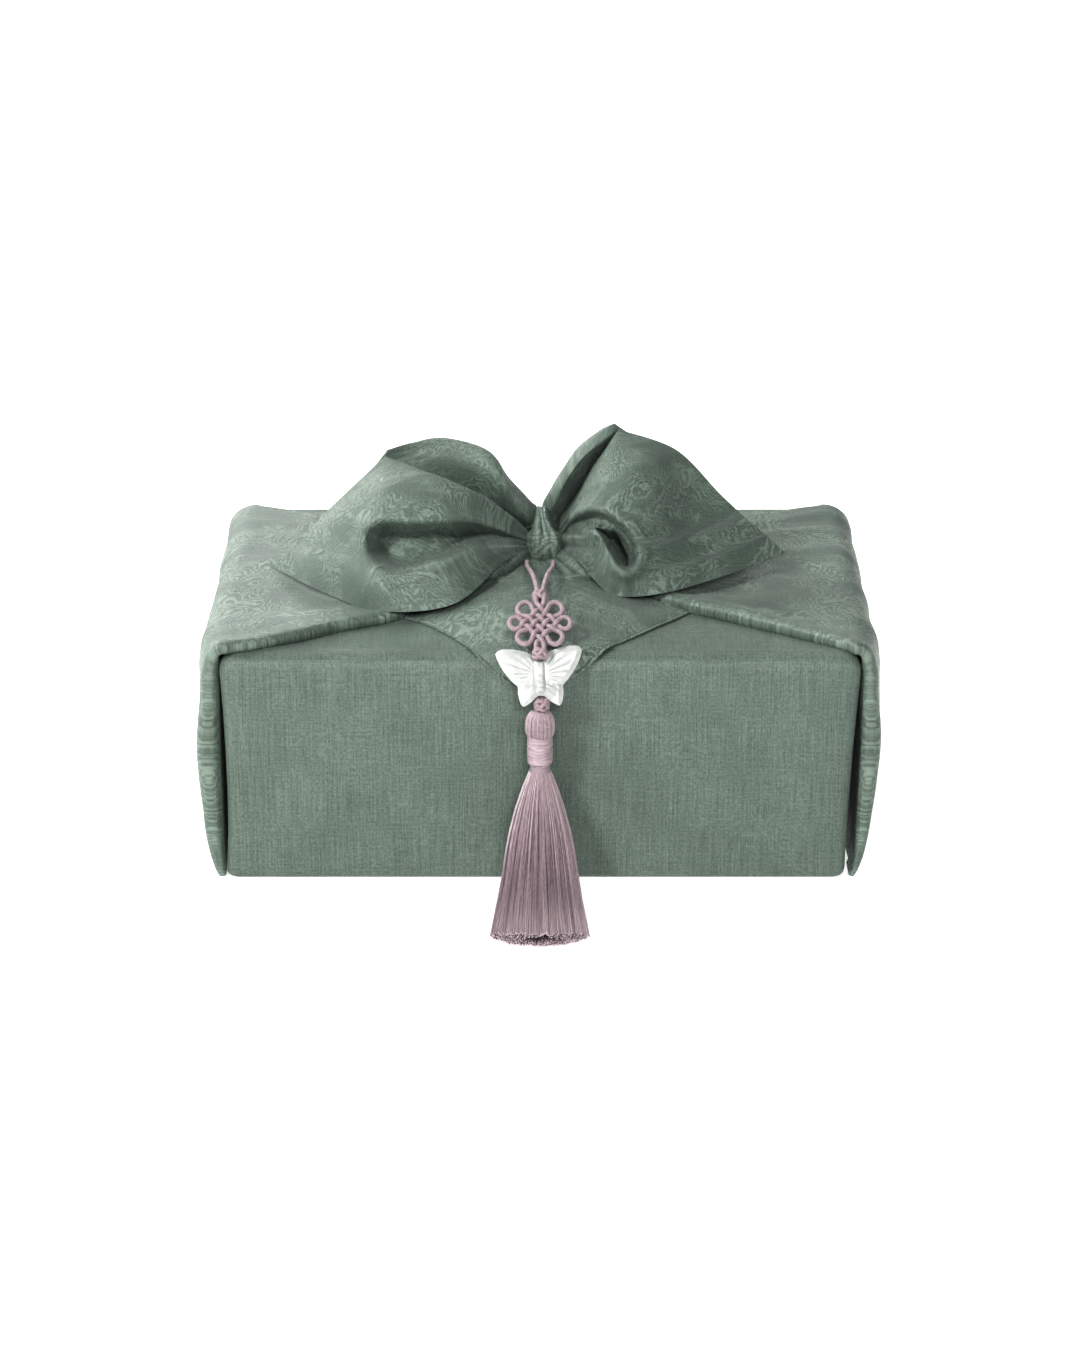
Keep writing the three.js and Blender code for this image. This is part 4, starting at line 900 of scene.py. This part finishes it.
earPatch(leftEar, earHollows["left"], 51, 5)
earPatch(rightEar, earHollows["right"], 52, 5)

# knot: a band of cloth wrapped round, narrow on top and wider below, its ends turned in
knotBand = {"y": -6, "z": 121.6, "deep": 15.5, "tall": 13.2}


def knotPatch():
    around = np.linspace(0, 2 * np.pi, 73)[:-1]
    across = np.array([-1.9, -1.5, -1.2, -1.06, -1, -0.94, -0.85, -0.7, -0.52, -0.35, -0.18, 0, 0.18, 0.35, 0.52, 0.7,
                       0.85, 0.94, 1, 1.06, 1.2, 1.5, 1.9])
    rows = []
    for w in across:
        upper = ease((np.sin(around) - 0.25) / 0.8)
        half = mix(5.3, 2.0, upper)
        inside = abs(w) <= 1
        reach = 1.03 - 0.07 * abs(w) ** 3 if inside else 0.96 - 0.7 * (abs(w) - 1) ** 0.8
        fold = 0.024 * np.sin(2 * np.pi * (1.35 * w + 0.22 * np.sin(around * 1.0 + 0.6)) + 0.7) * (inside or 0.4)
        crease = 0.08 * np.exp(-((w + 0.35 - 0.3 * np.sin(around)) / 0.12) ** 2) * inside * ease(np.sin(around) / 0.5 + 0.2)
        r = reach * (1 + fold - crease)
        x = mix(2.3, 0.6, upper) + half * w
        rows.append(np.stack([x, knotBand["y"] + knotBand["deep"] * r * np.cos(around),
                              knotBand["z"] + knotBand["tall"] * r * np.sin(around)], axis=1))
    grid = np.array(rows)
    uv = np.stack([grid[..., 0], 14 * around[None] + 0 * grid[..., 0]], axis=-1)
    clothPatch(grid, uv, ringAcross=True)


def gatherPatch():
    around = np.linspace(0, 2 * np.pi, 145)[:-1]
    profile = [{"radius": 33, "z": 103.2}, {"radius": 30, "z": 106.4}, {"radius": 27, "z": 109.6}, {"radius": 22, "z": 112.4},
               {"radius": 16, "z": 114.4}, {"radius": 10, "z": 116}, {"radius": 5, "z": 117}]
    steps = np.linspace(0, 1, 15)
    radius = np.interp(steps * 6, range(7), [p["radius"] for p in profile])
    level = np.interp(steps * 6, range(7), [p["z"] for p in profile])
    rows = []
    for r, z, t in zip(radius, level, steps):
        pleat = 1 + (0.035 + 0.05 * t) * np.sin(9 * around + 1.5 * np.sin(2 * around)) + 0.02 * np.sin(21 * around)
        rows.append(np.stack([r * pleat * np.cos(around), -5 + 0.86 * r * pleat * np.sin(around),
                              z + 0.7 * np.sin(9 * around + 0.6) * ease(t * 3) + 0 * around], axis=1))
    grid = np.array(rows)
    clothPatch(grid, np.stack([17 * around[None] + 0 * grid[..., 0], 40 * steps[:, None] + 0 * grid[..., 0]], axis=-1), ringAcross=True)


def foldRoll(points, sizes, flat=0.8, count=26, sides=20):
    line = cordLine(points, 1.0)
    at = np.linspace(0, len(line) - 1, count)
    line = np.stack([np.interp(at, range(len(line)), line[:, k]) for k in range(3)], axis=1)
    size = np.interp(np.linspace(0, 1, count), np.linspace(0, 1, len(sizes)), sizes)
    run = np.gradient(line, axis=0)
    run /= np.linalg.norm(run, axis=1)[:, None]
    side = np.cross(run, (0, 0, 1.0))
    side /= np.linalg.norm(side, axis=1)[:, None]
    up = np.cross(side, run)
    around = np.linspace(0, 2 * np.pi, sides + 1)[:-1]
    grid = (line[:, None] + side[:, None] * (size[:, None] * np.cos(around))[..., None]
            + up[:, None] * (flat * size[:, None] * np.sin(around))[..., None])
    uv = np.stack([4 * around[None] + 0 * grid[..., 0], np.linspace(0, 60, count)[:, None] + 0 * grid[..., 0]], axis=-1)
    clothPatch(grid, uv, ringAcross=True)


underKnot = [
    {"line": [(-32, -32, 109.6), (-20, -39, 110.4), (-4, -42, 111), (12, -40, 111.2), (28, -32, 110)], "sizes": [2.6, 4.2, 4.6, 4.2, 2.6], "flat": 0.8},
    {"line": [(-7, -14, 118), (-13, -24, 117), (-21, -33, 113.5), (-29, -38, 110)], "sizes": [2.2, 4.2, 4.4, 2.6], "flat": 0.75},
    {"line": [(7, -14, 118), (13, -23, 116.5), (21, -31, 113), (30, -36, 110)], "sizes": [2.2, 4.0, 4.2, 2.4], "flat": 0.75},
    {"line": [(3, -15, 114), (7, -26, 114.5), (13, -36, 112), (20, -42, 109)], "sizes": [2.0, 3.2, 3.4, 1.8], "flat": 0.7},
]

knotPatch()
gatherPatch()
for roll in underKnot:
    foldRoll(roll["line"], roll["sizes"], roll["flat"])

cloth = meshPiece("wrapping_cloth", *joined(clothParts), sageSatin)
cloth.data.attributes.new("figured", "FLOAT", "POINT").data.foreach_set("value", clothFigure)
wall = cloth.modifiers.new("wall", "SOLIDIFY")
wall.thickness = bundle["sheet"] * mm
wall.offset = 0
wall.use_even_offset = False
applyModifiers(cloth)
smooth(cloth, 60)
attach(cloth, "root")
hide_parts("cloth")
print("wrapping cloth", sum(len(p.vertices) - 2 for p in cloth.data.polygons), "triangles")

# stone butterfly
butterfly = {"top": (0, -108.4, 106.2), "foot": (0, -122, 84.2), "thick": 3.0, "turn": 3}
wingOutline = [
    (0, 7), (1.6, 8.6), (5.6, 10.9), (11, 12.3), (15.8, 12.4), (18.2, 10.6), (17, 6.4), (14.8, 2.2), (12, -1.6), (9.6, -4.2),
    (9.6, -7), (8.8, -11.4), (7.4, -13), (4.2, -11.2), (1.6, -8.8), (0, -8.4),
]


def butterflyPiece():
    half = np.array(wingOutline, float)
    outline = np.concatenate([half, (half[1:-1] * (-1, 0.98))[::-1]])
    bpy.ops.object.select_all(action="DESELECT")
    bpy.ops.mesh.primitive_circle_add(vertices=len(outline) * 4, radius=0.01, fill_type="NGON")
    piece = bpy.context.active_object
    piece.name = piece.data.name = "stone_butterfly"
    ring = np.concatenate([outline, outline[:1]])
    fine = []
    for k in range(len(outline)):
        for f in (0, 0.25, 0.5, 0.75):
            p0, p1, p2, p3 = outline[k - 1], ring[k], ring[k + 1], outline[(k + 2) % len(outline)]
            curve = 0.5 * (2 * p1 + (p2 - p0) * f + (2 * p0 - 5 * p1 + 4 * p2 - p3) * f ** 2 + (3 * p1 - p0 - 3 * p2 + p3) * f ** 3)
            fine.append(mix(mix(p1, p2, f), curve, 0.7))
    for vertex, (x, z) in zip(piece.data.vertices, fine):
        vertex.co = (x * mm, z * mm, -butterfly["thick"] / 2 * mm)
    bpy.ops.object.mode_set(mode="EDIT")
    bpy.ops.mesh.select_all(action="SELECT")
    bpy.ops.mesh.extrude_region_move(TRANSFORM_OT_translate={"value": (0, 0, butterfly["thick"] * mm)})
    bpy.ops.mesh.select_all(action="SELECT")
    bpy.ops.mesh.normals_make_consistent(inside=False)
    bpy.ops.object.mode_set(mode="OBJECT")
    remesh = piece.modifiers.new("remesh", "REMESH")
    remesh.mode = "VOXEL"
    remesh.voxel_size = 0.00026
    applyModifiers(piece)
    # carving: thinner towards the rim, ribs fanned over each wing, a ringed body
    count = len(piece.data.vertices)
    co = np.empty(count * 3, np.float32)
    piece.data.vertices.foreach_get("co", co)
    p = co.reshape(-1, 3).astype(float) / mm
    x, z, d = p[:, 0], p[:, 1], p[:, 2]
    seg = np.array(fine)
    after = np.roll(seg, -1, axis=0)
    edge = np.full(count, 99.0)
    for a, b in zip(seg, after):
        t = np.clip(((x - a[0]) * (b[0] - a[0]) + (z - a[1]) * (b[1] - a[1])) / max(1e-9, ((b - a) ** 2).sum()), 0, 1)
        edge = np.minimum(edge, np.hypot(x - a[0] - t * (b[0] - a[0]), z - a[1] - t * (b[1] - a[1])))
    wide = np.abs(x)
    upper = z > -3.4 - 0.1 * wide
    angle = np.where(upper, np.arctan2(z - 0.5, wide - 0.5), np.arctan2(z + 1.5, wide + 0.2))
    far = np.where(upper, np.hypot(wide - 0.5, z - 0.5), np.hypot(wide + 0.2, z + 1.5))
    ribs = np.cos(angle * np.where(upper, 22, 18)) * ease((far - 2.5) / 2.5) * ease((edge - 0.7) / 2) * ease((15.5 - far) / 6)
    parting = np.exp(-((z + 3.4 + 0.1 * wide) / 0.55) ** 2) * ease((wide - 1.6) / 1)
    body = np.exp(-(x / 1.75) ** 4) * ease((z + 8.2) / 2) * ease((7.0 - z) / 1.6)
    waist = np.exp(-((z - 0.2) / 0.5) ** 2) + np.exp(-((z + 2.6) / 0.45) ** 2) + np.exp(-((z + 5.0) / 0.4) ** 2)
    groove = np.exp(-((wide - 2.2) / 0.5) ** 2) * ease((z + 7.5) / 2) * ease((6.5 - z) / 1.5)
    belly = 0.28 + 0.72 * ease(edge / 2.6)
    relief = 0.16 * ribs - 0.35 * parting + 0.95 * body * (1 - 0.3 * waist) - 0.45 * groove
    upturn = 0.25 * ease((wide - 10) / 8)
    face = np.where(d > 0, 1.0, -0.6)
    half = butterfly["thick"] / 2
    rim = ease((np.abs(d) / half))
    p[:, 2] = d * belly + face * (relief + upturn * (d > 0)) * rim
    top, foot = np.array(butterfly["top"]), np.array(butterfly["foot"])
    up = (top - foot) / np.linalg.norm(top - foot)
    centre = (top + foot) / 2
    right = np.array((1.0, 0, 0))
    front = np.cross(right, up)
    turn = math.radians(butterfly["turn"])
    up, right = (up * math.cos(turn) + np.cross(front, up) * math.sin(turn),
                 right * math.cos(turn) + np.cross(front, right) * math.sin(turn))
    placed = centre + np.outer(p[:, 0], right) + np.outer(p[:, 1], up) + np.outer(p[:, 2], front)
    piece.data.vertices.foreach_set("co", (placed * mm).astype(np.float32).ravel())
    piece.data.update()
    soften = piece.modifiers.new("soften", "SMOOTH")
    soften.factor, soften.iterations = 0.5, 2
    applyModifiers(piece)
    smooth(piece)
    piece.data.materials.clear()
    piece.data.materials.append(paleStone)
    return piece


butterflyStone = butterflyPiece()
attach(butterflyStone, "root")
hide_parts("butterfly")
print("butterfly", len(butterflyStone.data.polygons), "faces")

# tassel
tassel = {"y": -118.4, "headThreads": 78, "skirtThreads": 1150, "thread": 0.3, "bandTurns": 22}
headProfile = [(1.5, 81.2), (3.6, 80.6), (5.3, 78.8), (6.1, 75.8), (6.1, 72.4), (5.5, 70.4), (4.6, 69.2), (4.2, 64), (4.2, 57), (5.4, 54), (6.2, 51)]
skirtPath = [
    {"y": -118.6, "z": 54, "wide": 4.6, "deep": 4.2}, {"y": -119.4, "z": 41, "wide": 9.6, "deep": 5.6},
    {"y": -121.6, "z": 25, "wide": 13.9, "deep": 6.0}, {"y": -127, "z": 13, "wide": 16.0, "deep": 5.4},
    {"y": -139, "z": 6.4, "wide": 17.6, "deep": 4.2}, {"y": -158, "z": 4.2, "wide": 19.1, "deep": 3.2},
    {"y": -182, "z": 3.8, "wide": 20.6, "deep": 3.0},
]
rng = np.random.default_rng(7)


# a plain thin tube, its own tone in u and its run in v
def threadTube(line, radius, tone, sides=3):
    count = len(line)
    run = np.gradient(line, axis=0)
    run /= np.linalg.norm(run, axis=1)[:, None]
    side = np.cross(run, (0.97, 0.1, 0.22))
    side /= np.linalg.norm(side, axis=1)[:, None]
    up = np.cross(run, side)
    around = np.arange(sides) * 2 * np.pi / sides
    points = (line[:, None] + side[:, None] * (radius * np.cos(around))[None, :, None]
              + up[:, None] * (radius * np.sin(around))[None, :, None])
    faces = gridFaces(count, sides, ringAcross=True)
    uvs = np.stack([tone + 0 * faces, faces // sides / (count - 1)], axis=-1).reshape(-1, 2)
    faces = faces.tolist() + [list(range(sides))[::-1], list(range((count - 1) * sides, count * sides))]
    uvs = np.concatenate([uvs, np.tile([[tone, 0.0]], (sides, 1)), np.tile([[tone, 1.0]], (sides, 1))])
    return points.reshape(-1, 3), faces, uvs


def headThreads():
    profile = through(np.array(headProfile[:9], float), np.linspace(0, 1, 15))
    parts = []
    for k in range(tassel["headThreads"]):
        turn = 2 * math.pi * k / tassel["headThreads"] + rng.normal(0, 0.008)
        lean = rng.normal(0, 0.03)
        angle = turn + lean * np.linspace(0, 1, 15)
        radius = np.maximum(profile[:, 0] - 0.08, 0.4) + rng.normal(0, 0.04)
        line = np.stack([radius * np.cos(angle), tassel["y"] + radius * np.sin(angle), profile[:, 1]], axis=1)
        parts.append(threadTube(line, 0.27, rng.uniform(0.12, 0.55), 5))
    return parts


# turned core under the threads, so that no gap shows through
def headCore():
    bpy.ops.object.select_all(action="DESELECT")
    bpy.ops.mesh.primitive_circle_add(vertices=28, radius=0.0012, fill_type="NGON",
                                      location=(0, tassel["y"] * mm, 81.0 * mm))
    piece = bpy.context.active_object
    bpy.ops.object.transform_apply(location=True, rotation=True, scale=True)
    bpy.ops.object.mode_set(mode="EDIT")
    bpy.ops.mesh.select_all(action="SELECT")
    last = (1.2, 81.0)
    for radius, z in [(3.2, 80.3), (4.9, 78.6), (5.7, 75.8), (5.7, 72.4), (5.1, 70.4), (4.1, 69.2), (3.8, 57), (4.6, 54), (5.0, 51)]:
        bpy.ops.mesh.extrude_region_move(TRANSFORM_OT_translate={"value": (0, 0, (z - last[1]) * mm)})
        bpy.ops.transform.resize(value=(radius / last[0], radius / last[0], 1),
                                 center_override=(0, tassel["y"] * mm, z * mm))
        last = (radius, z)
    bpy.ops.object.mode_set(mode="OBJECT")
    return piece


def headPiece():
    core = headCore()
    outward(core)
    layer = core.data.uv_layers.new(name="threads") if not core.data.uv_layers else core.data.uv_layers[0]
    layer.name = "threads"
    for corner in layer.data:
        corner.uv = (0.2, 0.5)
    core.data.materials.append(lilacThread)
    threads = meshPiece("tassel_head", *joined(headThreads()), lilacThread)
    bpy.ops.object.select_all(action="DESELECT")
    core.select_set(True)
    threads.select_set(True)
    bpy.context.view_layer.objects.active = threads
    bpy.ops.object.join()
    return threads


head = headPiece()
smooth(head, 60)
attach(head, "root")
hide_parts("tassel")

# skirt: silky threads down the front, then lying out on the surface
def skirtThreads():
    path = np.array([[s["y"], s["z"], s["wide"], s["deep"]] for s in skirtPath])
    rows = 11
    at = np.linspace(0, 1, rows)
    spine = through(path, at)
    run = np.gradient(spine[:, :2], axis=0)
    run /= np.linalg.norm(run, axis=1)[:, None]
    out = np.stack([run[:, 1], -run[:, 0]], axis=1)
    parts = []
    for k in range(tassel["skirtThreads"]):
        radius = rng.uniform(0.05, 1) ** 0.36
        angle = rng.uniform(0, 2 * math.pi)
        a, b = radius * math.cos(angle), radius * math.sin(angle)
        sway = rng.normal(0, 0.35) * at + 0.22 * np.sin(at * rng.uniform(5, 9) + rng.uniform(0, 6)) * at
        rise = rng.normal(0, 0.16) * np.sin(at * rng.uniform(4, 9) + rng.uniform(0, 6)) * at
        x = a * spine[:, 2] + sway
        depth = b * spine[:, 3] + rise
        y = spine[:, 0] + depth * out[:, 0]
        z = np.maximum(spine[:, 1] + depth * out[:, 1], tassel["thread"] + 0.1)
        short = rng.uniform(0, 1.6) ** 1.5 + 4.5 * a * a
        y = y + short * ease((at - 0.55) / 0.45)
        line = np.stack([x, y, z], axis=1)
        parts.append(threadTube(line, tassel["thread"] * rng.uniform(0.8, 1.1), rng.uniform(0, 1)))
    return parts


skirt = meshPiece("tassel_skirt", *joined(skirtThreads()), lilacThread)
smooth(skirt, 80)
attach(skirt, "root")
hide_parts("tassel")


# neck: thread bound round in close turns
def neckPiece():
    bpy.ops.object.select_all(action="DESELECT")
    bpy.ops.mesh.primitive_torus_add(major_segments=40, minor_segments=7, major_radius=0.0051, minor_radius=0.00033,
                                     location=(0, tassel["y"] * mm, 58.3 * mm))
    piece = bpy.context.active_object
    piece.name = piece.data.name = "neck_thread"
    bpy.ops.object.transform_apply(location=True, rotation=True, scale=True)
    turns = piece.modifiers.new("turns", "ARRAY")
    turns.count = tassel["bandTurns"]
    turns.use_relative_offset = False
    turns.use_constant_offset = True
    turns.constant_offset_displace = (0, 0, 11.4 / (tassel["bandTurns"] - 1) * mm)
    applyModifiers(piece)
    co = np.empty(len(piece.data.vertices) * 3, np.float32)
    piece.data.vertices.foreach_get("co", co)
    p = co.reshape(-1, 3).astype(float) / mm
    angle = np.arctan2(p[:, 1] - tassel["y"], p[:, 0])
    turnNumber = np.floor(np.arange(len(p)) / (40 * 7))
    p[:, 2] += 0.18 * angle / math.pi + 0.05 * np.sin(3 * angle + turnNumber * 2.1)
    waist = 1 + 0.02 * np.cos((p[:, 2] - 64) / 6 * math.pi) - 0.045 * np.exp(-((p[:, 2] - 65.2) / 0.4) ** 2)
    p[:, 0] *= waist
    p[:, 1] = tassel["y"] + (p[:, 1] - tassel["y"]) * waist
    piece.data.vertices.foreach_set("co", (p * mm).astype(np.float32).ravel())
    layer = piece.data.uv_layers[0] if piece.data.uv_layers else piece.data.uv_layers.new(name="threads")
    layer.name = "threads"
    tones = np.random.default_rng(3).uniform(0.1, 0.5, tassel["bandTurns"])
    # the run in v stays near the thread start, so each turn also takes some of the thread colour's painted highlight
    for loop in piece.data.loops:
        turn = int(turnNumber[loop.vertex_index])
        layer.data[loop.index].uv = (tones[turn], 0.12 + 0.1 * (angle[loop.vertex_index] + math.pi) / 6.3)
    piece.data.materials.append(lilacThread)
    piece.data.update()
    return piece


neck = neckPiece()
smooth(neck)
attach(neck, "root")
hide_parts("neck_binding")
print("tassel", len(skirt.data.polygons) + len(head.data.polygons), "faces")

# floor and light
floorMaterial, floorShader = newMaterial("paleFloor")
floorShader.inputs["Base Color"].default_value = (0.6, 0.6, 0.6, 1)
floorShader.inputs["Emission Color"].default_value = (1, 1, 1, 1)    # lit from below, so no hard shadow
floorShader.inputs["Emission Strength"].default_value = 0.62
floorShader.inputs["Roughness"].default_value = 0.9
floorShader.inputs["Specular IOR Level"].default_value = 0.2
bpy.ops.object.select_all(action="DESELECT")
bpy.ops.mesh.primitive_plane_add(size=20)
floor = bpy.context.active_object
floor.name = "floor"
floor.data.materials.append(floorMaterial)

world = bpy.data.worlds.new("studio")
bpy.context.scene.world = world
world.use_nodes = True
world.node_tree.nodes["Background"].inputs[0].default_value = (1, 1, 1, 1)
world.node_tree.nodes["Background"].inputs[1].default_value = 0.06

lights = [
    {"name": "overhead", "place": (-0.5, 1.6, 3.0), "aim": (0, 0.1, 0), "size": (4.0, 2.4), "power": 64},
    {"name": "back", "place": (-1.0, 2.6, 0.9), "aim": (0, 0, 0.1), "size": (1.8, 0.5), "power": 21},
    {"name": "left", "place": (-1.4, -1.4, 1.5), "aim": (0, 0, 0.14), "size": (0.4, 0.4), "power": 43},
    {"name": "rim", "place": (-1.9, 0.6, 1.1), "aim": (0, 0, 0.14), "size": (0.5, 0.7), "power": 26},
    {"name": "front", "place": (0.4, -2.1, 1.3), "aim": (0, 0, 0.12), "size": (1.0, 0.5), "power": 36},
]
for light in lights:
    data = bpy.data.lights.new(light["name"], "AREA")
    data.shape = "RECTANGLE"
    data.size, data.size_y = light["size"]
    data.energy = light["power"]
    lamp = bpy.data.objects.new(light["name"], data)
    lamp.location = light["place"]
    lamp.rotation_euler = (Vector(light["aim"]) - Vector(light["place"])).to_track_quat("-Z", "Y").to_euler()
    bpy.context.scene.collection.objects.link(lamp)
print("stage and lights set")
